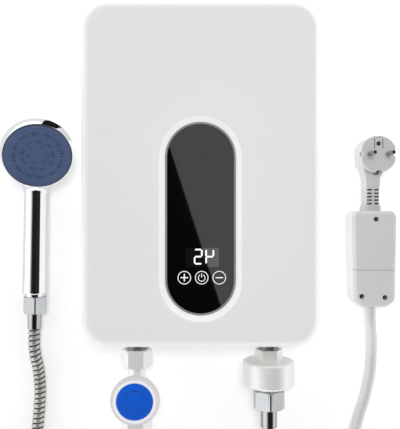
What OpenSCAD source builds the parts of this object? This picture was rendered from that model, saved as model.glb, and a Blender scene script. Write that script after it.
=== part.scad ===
// Tankless electric water heater with its shower set and its lead, laid out on its back.
// Millimetres. The origin is the middle of the heater's wall face, +Y is the heater's top, +Z its front.

/* [Casing] */
// Width of the casing
casing_w = 242; // [238:1:280]
// Room above the outlet pipe's bends, up to the casing's top
casing_top_room = 13; // [10:1:40]
// Depth of the casing from wall to front
casing_d = 70; // [69:1:90]
// Radius of the casing's corners
casing_corner_r = 29; // [24:1:34]
// Radius of the soft front edge
casing_edge_r = 11; // [7:1:14]
// Wall thickness of the covers
casing_wall = 2.5; // [2:0.1:3]
// Thickness of the back plate
back_t = 3; // [2.5:0.5:4]
// Height of the water fittings' axis, where the two covers meet
fitting_z = 36; // [35:0.5:37]
// Distance of the cover screws from the casing's sides
screw_inset = 17; // [16:0.5:20]
// Half distance of the keyholes across the back
keyhole_x = 88; // [80:1:92]
// Half distance of the keyholes up the back
keyhole_y = 135; // [120:1:140]
// Radius of a keyhole's round entry
keyhole_r = 4.6; // [4:0.1:5]

/* [Control panel] */
// Width of the touch glass
glass_w = 67; // [62:1:70]
// Height of the touch glass
glass_h = 190; // [180:1:200]
// Thickness of the touch glass
glass_t = 3; // [2:0.5:3.5]
// Height of the panel's middle above the casing's middle
panel_y = -45; // [-50:1:-40]
// Visible width of the metal rim around the glass
bezel_rim = 2; // [1.5:0.5:3]
// Width of the bevel in the front cover around the rim
bevel_w = 5.5; // [4:0.5:7]
// Depth of the glass below the front
bevel_d = 3.5; // [3:0.5:4]

/* [Water path] */
// Distance of the cold inlet left of the middle
inlet_x = 67; // [64:1:70]
// Distance of the hot outlet right of the middle
outlet_x = 72; // [70:1:76]
// Radius of the half inch pipe threads
thread_r = 10.45; // [10.3:0.05:10.5]
// Radius of the inner water pipes
pipe_r = 7; // [6:0.25:7.25]
// Wall of the inner water pipes
pipe_wall = 1.2; // [1:0.1:1.5]
// Radius of the heating tank
tank_r = 23; // [21:0.5:23.5]
// Length of the heating tank's shell
tank_l = 200; // [180:5:204]
// Wall of the heating tank
tank_wall = 1.2; // [1:0.1:1.6]
// Radius of the heating element's rod
element_r = 3.25; // [2.75:0.25:3.5]

/* [Inlet valve] */
// Distance of the knob's middle below the casing
valve_drop = 56.3; // [56:0.1:60]
// Radius of the valve's knob
knob_r = 25.5; // [24:0.5:26]
// Radius of the blue cap
cap_r = 18.6; // [17:0.2:19]
// Width across the flats of the union nut
union_nut_af = 29; // [28:0.5:30]
// Radius of the valve's ball
ball_r = 9.6; // [9.2:0.1:9.8]

/* [Outlet adapter] */
// Radius of the isolation adapter
adapter_r = 27; // [24:0.5:30]
// Length of the isolation adapter's drum
adapter_l = 26; // [24:1:30]
// Width across the flats of the hose nut
hose_nut_af = 31; // [29:0.5:32]

/* [Shower hose and handset] */
// Radius of the shower hose over its ribs
hose_r = 6.5; // [6:0.25:7]
// Radius of the shower hose's bore
hose_bore_r = 4; // [3.5:0.25:4.5]
// Distance between two ribs of the hose
rib_pitch = 5.5; // [5:0.25:7]
// Depth of the groove between two ribs
rib_depth = 1.1; // [0.8:0.1:1.4]
// Radius of the handset's handle
handle_r = 13.4; // [12.5:0.1:14]
// Length of the handle up to the head
handle_l = 112; // [105:1:116]
// Radius of the handset's head
head_r = 38.2; // [37:0.2:40]
// Radius of the spray face
face_r = 35; // [34:0.2:36]
// Tilt of the spray face against the handle
head_tilt = 29; // [27:1:32]

/* [Lead] */
// Radius of the lead
cord_r = 6; // [5.5:0.25:6]
// Width of the leakage breaker
breaker_w = 47; // [45:0.5:50]
// Length of the leakage breaker
breaker_l = 101.5; // [100:0.5:104]
// Thickness of the leakage breaker
breaker_d = 36; // [34:0.5:38]
// Travel of the test and reset buttons
button_travel = 1.5; // [1:0.1:2]
// Radius of the test and reset buttons
button_r = 4.5; // [4:0.25:5]
// Radius of the plug's face
plug_r = 19.5; // [19:0.25:20]
// Distance between the plug's pins
pin_pitch = 19; // [18.8:0.1:19.2]
// Radius of the plug's pins
pin_r = 2.4; // [2.3:0.05:2.45]
// Free length of the plug's pins
pin_l = 19; // [18:0.5:20]

/* [Hidden] */
$fn = 64;

// Clearances: a located fit, a running shaft, and two pieces that only stay apart
snug = 0.05;
running = 0.06;
apart = 0.3;

// Height of the casing, stacked upwards from its bottom along the water's way
tank_u = 97;
nozzle_l = 11;
elbow_gap = 4;
elbow_r = 18;
tank_top_u = tank_u + tank_l;
nozzle_top_u = tank_top_u + nozzle_l;
elbow_u = nozzle_top_u + elbow_gap;
casing_h = elbow_u + elbow_r + pipe_r + casing_top_room;

// Casing
bottom_y = -casing_h / 2;
inner_w = casing_w - 2 * casing_wall;
inner_h = casing_h - 2 * casing_wall;
inner_r = casing_corner_r - casing_wall;
inner_front_z = casing_d - casing_wall;
seal_w = 1.2;
seal_h = 1.6;
port_r = thread_r + apart;
boss_r = 5;
boss_spots = [for (sx = [-1, 1], sy = [-1, 1])
  [sx * (casing_w / 2 - screw_inset), sy * (casing_h / 2 - screw_inset)]];
screw_r = 1.9;
screw_head_r = 3.5;
screw_head_h = 2.4;
screw_sink = 4;
screw_grip = 18;
short_screw_l = 6;
keyhole_slot = 10;
keyhole_neck_r = 2.4;

// Control panel, stacked downwards from the front
panel_z = casing_d - bevel_d;
glass_back_z = panel_z - glass_t;
bezel_w = glass_w + 2 * bezel_rim;
bezel_h = glass_h + 2 * bezel_rim;
ledge_w = 3;
ledge_t = 2;
bezel_back_z = glass_back_z - ledge_t;
well_wall = 5;
well_back_z = bezel_back_z - ledge_t;
well_lip = 6;
board_t = 1.6;
display_gap = 5;
display_top_z = well_back_z - display_gap;
display_w = bezel_w + 8;
display_h = 100;
display_y = panel_y - 25;
display_socket_h = 5;
display_post_r = 3;
display_pin_r = 1.4;
display_pin_l = 3;
display_posts = [for (sx = [-1, 1], sy = [-1, 1]) [sx * bezel_w / 2, display_y + sy * (display_h / 2 - 8)]];
led_w = 34;
led_h = 19;
led_y = panel_y - 38.6;

// Water path, measured upwards from the casing's bottom
nipple_in = 25;
nipple_out = 16;
nipple_bore_r = pipe_r + snug;
washer_t = 1.6;
collar_t = 1.2;
collar_r = thread_r + 1;
lock_nut_af = 27;
lock_nut_t = 5;
sensor_u = 17;
sensor_l = 43;
sensor_r = 13.5;
sensor_bore_r = 9;
sensor_socket = 7;
spider_t = 2.5;
spider_inset = 10;
axle_r = 1;
hub_r = 3.4;
vane_t = 1.6;
vane_count = 5;
vane_twist = 50;
pad_u = 64;
pad_l = 18;
pad_w = 20;
pad_h = 11;
nozzle_wall = 3;
end_plate_t = 3;
end_round = 4;
element_pitch = pipe_r + nozzle_wall + element_r + apart;
element_bend_u = 125;
element_out = 14;
clamp_spots = [140, 255];
clamp_w = 12;
clamp_t = 1.2;
clamp_foot_z = 8;
clamp_ear = 11;
saddle_rise = 9;
cutout_u = 200;
probe_spots = [60, 100];
probe_w = 8;
sensor_top_u = sensor_u + sensor_l;

// Electrics
power_x = 14;
power_y = 10;
power_w = 84;
power_h = 150;
power_z = 11;
standoff_r = 3.5;
board_blocks = [[-32, 30, 26, 22, 18], [4, 34, 20, 16, 15], [-30, -20, 14, 26, 9], [-8, 2, 18, 6, 8]];
board_cans = [[24, -10, 6.5, 21], [24, -28, 5, 16]];
power_posts = [for (sx = [-1, 1], sy = [-1, 1])
  [power_x + sx * (power_w / 2 - 5), power_y + sy * (power_h / 2 - 5)]];
pilot_r = 1.6;
terminal_w = 50;
terminal_l = 22;
terminal_h = 16;
terminal_y = bottom_y + 30;
wire_r = 1.6;

// Inlet valve, measured downwards from the casing's bottom
valve_y = bottom_y - valve_drop;
union_nut_t0 = 7;
union_nut_l = 19;
valve_washer_t = 1.5;
tail_collar_t = 2.5;
tail_r = 8.85;
tail_collar_r = thread_r - 0.25;
valve_bore_r = 6;
valve_body_r = 17;
chamber_r = ball_r + 0.4;
valve_foot_z = fitting_z - 15;
valve_head_z = fitting_z + 12;
spigot_h = 2;
bonnet_r = 14;
bonnet_t = 3;
stem_r = 4;
drive_w = 5;
inlet_hex_af = 27.4;
inlet_hex_t0 = valve_drop + 23.5;
inlet_hex_l = 12;
inlet_thread_l = 18;
knob_z = valve_head_z + bonnet_t + apart;
knob_h = 7;
knob_wall = 3;
hub_outer_r = 7;
cap_h = 3.6;
cap_seat = 2.2;
cap_peg_r = 3;

// Hot outlet, measured downwards from the casing's bottom
thread_shown = 4.4;
adapter_t0 = washer_t + collar_t + thread_shown;
adapter_hex_af = 25;
adapter_hex_l = 12;
adapter_edge_r = 2.5;
adapter_boss_r = 14.3;
adapter_boss_l = 4;
adapter_thread_l = 12;
adapter_bore_r = 5;
adapter_drum_t = adapter_t0 + adapter_hex_l;
adapter_end_t = adapter_drum_t + adapter_l + adapter_boss_l;
hose_nut_l = 20;
hose_nut_seat = 5.4;
ferrule_r = 8.75;
ferrule_flange_t = 2.5;
ferrule_l = 27.5;
hose_nut_t0 = adapter_end_t + apart;
ferrule_t0 = adapter_end_t + adapter_thread_l + apart;
hose_t0 = ferrule_t0 + ferrule_l;

// Handset, measured up its handle from the handle's lower end
handset_at = [-180.7, bottom_y + 48, 14.1];
handset_yaw = -0.9;
handset_roll = 16.5;
handle_swell = 0.3;
handle_foot_in = 1.2;
handle_foot_l = 1.6;
handle_root_in = 1;
handle_root_l = 12;
head_y = 146.4;
head_rise = 35;
head_depth = 30;
neck_low_r = 17;
neck_sink = 1.5;
neck_high_r = 24;
neck_offset = 4;
neck_l = 14;
face_t = 4;
handset_bore_r = 7;
handset_thread_l = 14;
handset_nut_af = 23.6;
handset_nut_gap = 2.7;
handset_nut_l = 18.5;
handset_ferrule_r = 7.45;
handset_ferrule_end = 38;
nozzle_r = 1.1;
nozzle_h = 1.4;
head_form = [
  [0, 1], [0.12, 1], [0.31, 0.975], [0.57, 0.89], [0.78, 0.735], [0.915, 0.54], [0.975, 0.4], [1, 0.29],
  [0.982, 0.15], [0.96, 0.04], [0.952, 0.01]
];

// Lead
gland_z = 11;
gland_r = 9;
gland_tip_r = 7.4;
gland_l = 30;
gland_flange_t = 2;
breaker_x = 184;
breaker_top_y = bottom_y + 138;
breaker_taper = 3;
breaker_edge = 3;
breaker_corner_r = 7;
breaker_wall = 2.5;
breaker_split_z = breaker_d / 2;
breaker_bulge = 3;
split_groove = 0.5;
breaker_bottom_y = breaker_top_y - breaker_l;
terminal_seam_y = breaker_top_y - 62.4;
seam_gap = 0.4;
breaker_screw_r = 1.3;
breaker_head_r = 2.4;
breaker_head_h = 1.6;
breaker_head_sink = 3;
breaker_post_r = 4;
breaker_screw_spots = [
  [breaker_x + 1.5, breaker_top_y - 8.8],
  [breaker_x - 13.6, breaker_bottom_y + 11.3],
  [breaker_x + 10.8, breaker_bottom_y + 10.1]
];
button_y = breaker_top_y - 34;
button_dx = 9;
button_sink = 0.7;
button_l = 8;
button_flange_r = button_r + 1.7;
button_flange_t = 1.5;
lead_x = 184.3;
lead_z = 18;
relief_w = 14.4;
relief_d = 21;
relief_l = 26;
relief_collar_l = 6;
slot_count = 5;
slot_pitch = 3.7;
slot_w = 1.7;
slot_d = 7;
web_t = 2.4;
plug_x = 187.5;
plug_rise = 198;
plug_y = bottom_y + plug_rise;
plug_face_z = 38;
plug_flat = plug_r - 2;
plug_edge_r = 1.5;
plug_taper_l = 25;
earth_hole_r = 2.5;
earth_hole_y = 11;
earth_slit_x = 4.3;
earth_slit_w = 0.8;
earth_slit_l = 11;
earth_slit_d = 5;
guide_w = 5;
guide_d = 1.5;
earth_hole_d = 16;
clip_w = 5;
clip_t = 0.8;
clip_l = 14;
pin_root = 8;
pin_waist = 0.4;

// Routes of the lead and the hose, chosen by hand where they lie free, measured from the casing's bottom
cord_heater_route = [
  [-inlet_x, -12, gland_z], [-inlet_x, -24, gland_z], [-inlet_x, -36, gland_z], [-inlet_x, -55, 8.6],
  [-inlet_x, -73, 6.6], [-67, -88, 6.1], [-63, -106, 6.1], [-53, -121, 6.1], [-37, -131, 6.1],
  [-18, -135, 6.1], [10, -135, 6.1], [40, -135, 6.1], [72, -135, 6.1], [104, -135, 6.1], [136, -135, 6.3],
  [162, -135, 6.8], [184, -135, 7.2], [196, -135, 7.2], [208, -135, 7.2]
];
cord_plug_route = [
  [150, -193, 19.8], [150, -181, 19.8], [150, -169, 19.8], [151.5, -153, 19.8], [155, -137, 19.8],
  [160, -123, 19.2], [165.6, -109, 16], [171.2, -95, 11.4], [176.6, -81, 7.6], [182, -66, 6.1],
  [187, -42, 6.1], [188.5, -21, 7], [187.5, -3, 11], [185.2, 12, 16], [184, 23, lead_z], [184, 33, lead_z],
  [184, 43, lead_z]
];
hose_outlet_route = [
  [outlet_x, -hose_t0, fitting_z], [outlet_x, -hose_t0 - 9, fitting_z], [outlet_x, -hose_t0 - 18, fitting_z],
  [72, -127, 32], [72, -149, 24.5], [72, -171, 16], [72, -192, 9.6], [71, -213, 7], [66, -234, 6.6],
  [53, -259, 6.6], [32, -278, 6.6], [5, -290, 6.6], [-24, -293, 6.6], [-56, -293, 6.6], [-90, -293, 6.8],
  [-115, -293, 7.4], [-133, -293, 7.7], [-146, -293, 7.7], [-159, -293, 7.7]
];
hose_handset_route = [
  [-212.3, -164.3, 21.3], [-207.7, -159.7, 21.3], [-203.1, -155.1, 21.3], [-196.6, -146.6, 19.6],
  [-188.6, -132.5, 14.6], [-183, -117.1, 9.4], [-180.1, -101, 6.9], [-178.4, -83, 6.6], [-177.3, -66, 6.6],
  [-177.6, -49, 7], [-178.9, -32, 9.5], [-180.8, -19, 12.6], [-181.56, -7, 14.1], [-181.43, 1.5, 14.1],
  [-181.3, 9.9, 14.1]
];

// Coils, as centre, outer radius of the turns' middle, first angle and turned angle
coil_lift = 1.2;
turn_gap = 0.6;
cord_coil_at = [220, -205];
cord_coil_r = 70;
cord_coil_start = 90;
cord_coil_turn = 630;
cord_tie_u = 120;
hose_coil_at = [-172, -223];
hose_coil_r = 70;
hose_coil_start = -90;
hose_coil_turn = 855;
hose_tie_u = 200;
coil_step = 15;
tie_w = 8;
tie_t = 0.8;

// Vectors and sweeps

function unit(v) = v / norm(v);

// Point of a smooth curve through b and c, between its neighbours a and d
function spline_point(a, b, c, d, t) =
  0.5 * (2 * b + (c - a) * t + (2 * a - 5 * b + 4 * c - d) * t * t + (3 * b - a - 3 * c + d) * t * t * t);

// Point before the first or after the last, in line with the end
function spline_at(p, i) =
  i < 0 ? 2 * p[0] - p[1] : i > len(p) - 1 ? 2 * p[len(p) - 1] - p[len(p) - 2] : p[i];

// Smooth curve through the points p with n steps between two of them
function spline(p, n) = [
  for (i = [0:len(p) - 2], j = [0:n - 1])
    spline_point(spline_at(p, i - 1), p[i], p[i + 1], spline_at(p, i + 2), j / n),
  p[len(p) - 1]
];

// Length of the curve from its start to each of its points
function run_lengths(p) = [
  for (i = 0, s = 0; i < len(p); i = i + 1, s = i < len(p) ? s + norm(p[i] - p[i - 1]) : s) s
];

// The curve cut into n equal steps
function resample(p, n) =
  let (
    s = run_lengths(p),
    x = [for (i = [0:len(p) - 1]) [s[i], p[i][0]]],
    y = [for (i = [0:len(p) - 1]) [s[i], p[i][1]]],
    z = [for (i = [0:len(p) - 1]) [s[i], p[i][2]]],
    step = s[len(p) - 1] / n
  )
  [for (i = [0:n]) [lookup(i * step, x), lookup(i * step, y), lookup(i * step, z)]];

function run_length(p) = run_lengths(p)[len(p) - 1];

function tangents(p) = [
  for (i = [0:len(p) - 1]) unit(p[min(i + 1, len(p) - 1)] - p[max(i - 1, 0)])
];

// Ring of points around the curve's point c
function ring(c, tangent, r, sides, ref) =
  let (side = unit(cross(ref, tangent)), up = cross(tangent, side))
  [for (k = [0:sides - 1]) c + r * (cos(360 * k / sides) * side + sin(360 * k / sides) * up)];

function rings(p, radii, sides, ref) =
  let (t = tangents(p))
  [for (i = [0:len(p) - 1]) each ring(p[i], t[i], radii[i], sides, ref)];

// Triangles of a wall of rings, whose first point has the number at
function wall_out(m, sides, at) = [
  for (i = [0:m - 2], k = [0:sides - 1])
    let (a = at + i * sides + k, b = at + i * sides + (k + 1) % sides)
      each [[a, a + sides, b + sides], [a, b + sides, b]]
];

function flipped(faces) = [for (f = faces) [f[0], f[2], f[1]]];

// Solid round tube along the points p
module solid_tube(p, r, sides, ref = [0, 0, 1]) {
  m = len(p);
  last = (m - 1) * sides;
  caps = [for (k = [1:sides - 2]) each [[0, k, k + 1], [last, last + k + 1, last + k]]];
  polyhedron(rings(p, [for (i = [1:m]) r], sides, ref), concat(wall_out(m, sides, 0), caps));
}

// Tube with a bore: outer points and radii, and inner points along the same curve
module bored_tube(p, radii, q, bore, sides, ref = [0, 0, 1]) {
  m = len(p);
  n = len(q);
  inner = m * sides;
  o_end = (m - 1) * sides;
  i_end = inner + (n - 1) * sides;
  start_cap = [
    for (k = [0:sides - 1])
      let (j = (k + 1) % sides)
        each [[k, j, inner + j], [k, inner + j, inner + k]]
  ];
  end_cap = [
    for (k = [0:sides - 1])
      let (j = (k + 1) % sides)
        each [[o_end + k, i_end + j, o_end + j], [o_end + k, i_end + k, i_end + j]]
  ];
  polyhedron(
    concat(rings(p, radii, sides, ref), rings(q, [for (i = [1:n]) bore], sides, ref)),
    concat(wall_out(m, sides, 0), flipped(wall_out(n, sides, inner)), start_cap, end_cap)
  );
}

// Ribbed hose along a route: each rib has a crest and a groove
module ribbed_hose(route) {
  curve = spline(route, 8);
  ribs = round(run_length(curve) / rib_pitch);
  outer = resample(curve, 2 * ribs);
  radii = [for (i = [0:2 * ribs]) i % 2 == 0 ? hose_r : hose_r - rib_depth];
  bored_tube(outer, radii, resample(curve, ceil(ribs / 5)), hose_bore_r, 8);
}

// Free lead along a route
module plain_cord(route) {
  curve = spline(route, 8);
  solid_tube(resample(curve, ceil(run_length(curve) / (4.5 * cord_r))), cord_r, 10);
}

// Coil of two layers: the lower spirals in, the upper spirals out again
function coil_radius(u, r_out, pitch, turn) = r_out - pitch * min(u, turn - u) / 360;

function coil_climb(u, turn) =
  let (t = min(1, max(0, (u - (turn - 180) / 2) / 180)))
  t * t * (3 - 2 * t);

function coil_point(u, at, r_out, tube_r, start, turn) =
  let (
    pitch = 2 * tube_r + turn_gap,
    r = coil_radius(u, r_out, pitch, turn),
    a = start - u
  )
  [at[0] + r * cos(a), at[1] + r * sin(a), tube_r + coil_lift + pitch * coil_climb(u, turn)];

function coil_turns(at, r_out, tube_r, start, turn) = [
  for (u = [0:coil_step:turn]) coil_point(u, at, r_out, tube_r, start, turn)
];

// Straight ends of one tube diameter, square to what the coil meets
function coil_path(at, r_out, tube_r, start, turn) =
  let (
    turns = coil_turns(at, r_out, tube_r, start, turn),
    first = [sin(start), -cos(start), 0],
    last = [sin(start - turn), -cos(start - turn), 0]
  )
  concat([turns[0] - 2 * tube_r * first], turns, [turns[len(turns) - 1] + 2 * tube_r * last]);

// Least distance between the surfaces of neighbouring turns
function coil_gap(p, tube_r) =
  let (apart_rings = 180 / coil_step)
  min([for (i = [0:len(p) - 1], j = [0:len(p) - 1]) if (j - i > apart_rings) norm(p[i] - p[j])]) - 2 * tube_r;

// Flat band around both layers of a coil
module coil_tie(u, at, r_out, tube_r, start, turn) {
  pitch = 2 * tube_r + turn_gap;
  r0 = coil_radius(u, r_out, pitch, turn);
  r1 = coil_radius(u + 360, r_out, pitch, turn);
  inner_l = abs(r1 - r0) + 2 * tube_r + 2 * apart;
  inner_hh = 2 * tube_r + pitch + 2 * apart;
  translate([at[0], at[1], 0])
    rotate([0, 0, start - u])
      translate([(r0 + r1) / 2, tie_w / 2, coil_lift - apart + inner_hh / 2])
        rotate([90, 0, 0])
          linear_extrude(tie_w)
            difference() {
              rounded_rect(inner_l + 2 * tie_t, inner_hh + 2 * tie_t, 5);
              rounded_rect(inner_l, inner_hh, 5 - tie_t);
            }
}

// Outlines and blocks

module rounded_rect(w, h, r) {
  square([w - 2 * r, h], center = true);
  square([w, h - 2 * r], center = true);
  for (sx = [-1, 1], sy = [-1, 1])
    translate([sx * (w / 2 - r), sy * (h / 2 - r)])
      circle(r);
}

module pill(w, h) {
  square([w, h - w], center = true);
  for (s = [-1, 1])
    translate([0, s * (h - w) / 2])
      circle(w / 2);
}

// Pill that widens from w0 to w1 over the height d
module flared_pill(w0, w1, h0, d) {
  for (s = [-1, 1])
    translate([0, s * (h0 - w0) / 2, 0])
      cylinder(r1 = w0 / 2, r2 = w1 / 2, h = d);
  rotate([90, 0, 0])
    linear_extrude(h0 - w0, center = true)
      polygon([[-w0 / 2, 0], [w0 / 2, 0], [w1 / 2, d], [-w1 / 2, d]]);
}

// Half section of an upright bar whose upper edge is rounded
module soft_section(r, edge, h) {
  square([r - edge, h]);
  square([r, h - edge]);
  translate([r - edge, h - edge])
    intersection() {
      circle(edge);
      square(edge);
    }
}

// Block with round corners and a soft upper edge
module soft_block(w, h, r, edge, z0, z1) {
  hull()
    for (sx = [-1, 1], sy = [-1, 1])
      translate([sx * (w / 2 - r), sy * (h / 2 - r), z0])
        rotate_extrude($fn = 40)
          soft_section(r, edge, z1 - z0);
}

module hex(af, h) {
  cylinder(r = af / 2 / cos(30), h = h, $fn = 6);
}

// Hexagon nut with chamfered corners
module hex_nut(af, h) {
  corner_r = af / 2 / cos(30);
  flat_r = af / 2;
  rise = (corner_r - flat_r) * 0.6;
  intersection() {
    hex(af, h);
    rotate_extrude()
      polygon([[0, 0], [flat_r, 0], [corner_r, rise], [corner_r, h - rise], [flat_r, h], [0, h]]);
  }
}

module tube_ring(r_out, r_in, h) {
  difference() {
    cylinder(r = r_out, h = h);
    translate([0, 0, -1])
      cylinder(r = r_in, h = h + 2);
  }
}

// Upwards from the casing's bottom, along the axis of a fitting
module up_from_bottom(x, u) {
  translate([x, bottom_y + u, fitting_z])
    rotate([-90, 0, 0])
      children();
}

// Downwards from the casing's bottom, along the axis of a fitting
module down_from_bottom(x, t) {
  translate([x, bottom_y - t, fitting_z])
    rotate([90, 0, 0])
      children();
}

// Free layout of the hose and the lead, which hangs on the casing's bottom
module below_casing() {
  translate([0, bottom_y, 0])
    children();
}

module both_ports(r, l) {
  for (x = [-inlet_x, outlet_x])
    down_from_bottom(x, -l / 2)
      cylinder(r = r, h = l);
}

// Casing

module rear_tray() {
  difference() {
    linear_extrude(fitting_z)
      rounded_rect(casing_w, casing_h, casing_corner_r);
    translate([0, 0, back_t])
      linear_extrude(fitting_z)
        rounded_rect(inner_w, inner_h, inner_r);
    translate([0, 0, fitting_z - seal_h])
      linear_extrude(fitting_z)
        rounded_rect(inner_w + 2 * seal_w, inner_h + 2 * seal_w, inner_r + seal_w);
  }
}

module tank_saddles() {
  saddle_z = fitting_z - tank_r + saddle_rise;
  for (u = clamp_spots)
    translate([-inlet_x - tank_r + 1, bottom_y + u - clamp_w / 2, 0])
      cube([2 * tank_r - 2, clamp_w, saddle_z]);
}

module keyhole() {
  translate([0, 0, -1]) {
    cylinder(r = keyhole_r, h = back_t + 2);
    translate([0, keyhole_slot, 0])
      cylinder(r = keyhole_neck_r, h = back_t + 2);
    translate([-keyhole_neck_r, 0, 0])
      cube([2 * keyhole_neck_r, keyhole_slot, back_t + 2]);
  }
}

function clamp_foot_x() = tank_r + clamp_t + clamp_ear / 2;

module rear_cover() {
  color("whitesmoke")
    difference() {
      union() {
        rear_tray();
        tank_saddles();
        for (p = boss_spots)
          translate(p)
            cylinder(r = boss_r, h = fitting_z);
        for (u = clamp_spots, s = [-1, 1])
          translate([-inlet_x + s * clamp_foot_x(), bottom_y + u, 0])
            cylinder(r = boss_r, h = clamp_foot_z);
        for (p = power_posts)
          translate(p)
            cylinder(r = standoff_r, h = power_z);
      }
      for (p = boss_spots)
        translate([p[0], p[1], -1]) {
          cylinder(r = screw_r + apart, h = fitting_z + 2);
          cylinder(r = screw_head_r + apart, h = screw_sink + 1);
        }
      for (u = clamp_spots, s = [-1, 1])
        translate([-inlet_x + s * clamp_foot_x(), bottom_y + u, clamp_foot_z - short_screw_l + clamp_t])
          cylinder(r = pilot_r + snug, h = short_screw_l);
      for (p = power_posts)
        translate([p[0], p[1], power_z - short_screw_l + board_t])
          cylinder(r = pilot_r + snug, h = short_screw_l);
      up_from_bottom(-inlet_x, tank_u)
        cylinder(r = tank_r + snug, h = tank_l);
      both_ports(port_r, 4 * casing_wall);
      translate([-inlet_x, bottom_y + 2 * casing_wall, gland_z])
        rotate([90, 0, 0])
          cylinder(r = cord_r + 2, h = 3 * casing_wall);
      for (sx = [-1, 1], sy = [-1, 1])
        translate([sx * keyhole_x, sy * keyhole_y, 0])
          keyhole();
    }
}

module panel_well() {
  translate([0, panel_y, well_back_z])
    linear_extrude(inner_front_z - well_back_z + casing_wall / 2)
      pill(bezel_w + 2 * well_wall, bezel_h + 2 * well_wall);
}

module panel_opening() {
  translate([0, panel_y, bezel_back_z])
    linear_extrude(casing_d)
      pill(bezel_w + 2 * snug, bezel_h + 2 * snug);
  translate([0, panel_y, well_back_z - 1])
    linear_extrude(casing_d)
      pill(bezel_w - 2 * well_lip, bezel_h - 2 * well_lip);
  translate([0, panel_y, panel_z])
    flared_pill(bezel_w + 2 * snug, bezel_w + 2 * bevel_w, bezel_h + 2 * snug, bevel_d);
}

module front_cover() {
  color("white")
    difference() {
      union() {
        difference() {
          soft_block(casing_w, casing_h, casing_corner_r, casing_edge_r, fitting_z, casing_d);
          soft_block(inner_w, inner_h, inner_r, casing_edge_r - casing_wall, fitting_z - 1, inner_front_z);
        }
        panel_well();
        for (p = boss_spots)
          translate([p[0], p[1], fitting_z])
            cylinder(r = boss_r, h = inner_front_z - fitting_z + casing_wall / 2);
        for (p = display_posts)
          translate([p[0], p[1], display_top_z])
            cylinder(r = display_post_r, h = display_gap + 1);
        for (p = display_posts)
          translate([p[0], p[1], display_top_z - display_pin_l])
            cylinder(r = display_pin_r, h = display_pin_l + 1);
      }
      panel_opening();
      for (p = boss_spots)
        translate([p[0], p[1], fitting_z - 1])
          cylinder(r = screw_r + snug, h = screw_grip + 2);
      both_ports(port_r, 4 * casing_wall);
    }
}

module casing_seal() {
  color("dimgray")
    difference() {
      translate([0, 0, fitting_z - seal_h])
        linear_extrude(seal_h)
          difference() {
            rounded_rect(inner_w + 2 * seal_w - 2 * snug, inner_h + 2 * seal_w - 2 * snug,
              inner_r + seal_w - snug);
            rounded_rect(inner_w, inner_h, inner_r);
          }
      both_ports(port_r + apart, 4 * casing_wall);
    }
}

module short_screw(head_z) {
  translate([0, 0, head_z])
    cylinder(r = screw_head_r, h = screw_head_h);
  translate([0, 0, head_z - short_screw_l + 1])
    cylinder(r = pilot_r, h = short_screw_l);
}

module housing_screws() {
  color("silver") {
    for (p = boss_spots)
      translate([p[0], p[1], screw_sink - screw_head_h]) {
        cylinder(r = screw_head_r, h = screw_head_h);
        cylinder(r = screw_r, h = fitting_z + screw_grip - screw_sink);
      }
    for (u = clamp_spots, s = [-1, 1])
      translate([-inlet_x + s * clamp_foot_x(), bottom_y + u, 0])
        short_screw(clamp_foot_z + clamp_t);
    for (p = power_posts)
      translate(p)
        short_screw(power_z + board_t);
  }
}

// Control panel

module panel_bezel() {
  color("lightslategray")
    translate([0, panel_y, 0])
      difference() {
        translate([0, 0, bezel_back_z])
          linear_extrude(panel_z - bezel_back_z + 0.2)
            pill(bezel_w, bezel_h);
        translate([0, 0, glass_back_z])
          linear_extrude(casing_d)
            pill(glass_w + 2 * snug, glass_h + 2 * snug);
        translate([0, 0, bezel_back_z - 1])
          linear_extrude(casing_d)
            pill(glass_w - 2 * ledge_w, glass_h - 2 * ledge_w);
      }
}

module glass_panel() {
  color("black")
    translate([0, panel_y, glass_back_z])
      linear_extrude(glass_t)
        pill(glass_w, glass_h);
}

module display_board() {
  color("seagreen")
    difference() {
      union() {
        translate([-display_w / 2, display_y - display_h / 2, display_top_z - board_t])
          cube([display_w, display_h, board_t]);
        translate([10, display_y + 10, display_top_z - board_t - display_socket_h])
          cube([16, 7, display_socket_h + 0.5]);
        translate([-14, display_y + 24, display_top_z - board_t - 4])
          cylinder(r = 6, h = 4.5);
      }
      for (p = display_posts)
        translate([p[0], p[1], display_top_z - board_t - 1])
          cylinder(r = display_pin_r + snug, h = board_t + 2);
    }
}

module led_display() {
  color("gray")
    difference() {
      translate([-led_w / 2, led_y - led_h / 2, display_top_z])
        cube([led_w, led_h, glass_back_z - display_top_z - 0.2]);
      for (s = [-1, 1])
        translate([s * 6 - 4.75, led_y - 8, glass_back_z - 0.9])
          cube([9.5, 16, 2]);
    }
}

// Water path inside the casing

module nipple(x) {
  color("silver")
    difference() {
      union() {
        down_from_bottom(x, -nipple_in)
          cylinder(r = thread_r, h = nipple_in + nipple_out);
        down_from_bottom(x, washer_t)
          cylinder(r = collar_r, h = collar_t);
      }
      down_from_bottom(x, -nipple_in - 1)
        cylinder(r = nipple_bore_r, h = nipple_in + nipple_out + 2);
    }
}

module inlet_nipple() {
  nipple(-inlet_x);
}

module outlet_nipple() {
  nipple(outlet_x);
}

module lock_nuts() {
  color("goldenrod")
    for (x = [-inlet_x, outlet_x])
      up_from_bottom(x, casing_wall)
        difference() {
          hex_nut(lock_nut_af, lock_nut_t);
          translate([0, 0, -1])
            cylinder(r = thread_r + snug, h = lock_nut_t + 2);
        }
}

module nipple_washers() {
  color("black")
    for (x = [-inlet_x, outlet_x])
      down_from_bottom(x, 0)
        tube_ring(collar_r, thread_r + snug, washer_t);
}

// Three thin arms that carry the rotor's axle
module spider(u) {
  up_from_bottom(-inlet_x, u)
    difference() {
      union() {
        cylinder(r = hub_r, h = spider_t);
        for (a = [0:120:240])
          rotate([0, 0, a])
            translate([0, -vane_t / 2, 0])
              cube([sensor_bore_r + 1, vane_t, spider_t]);
      }
      translate([0, 0, -1])
        cylinder(r = axle_r + 0.02, h = spider_t + 2);
    }
}

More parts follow.
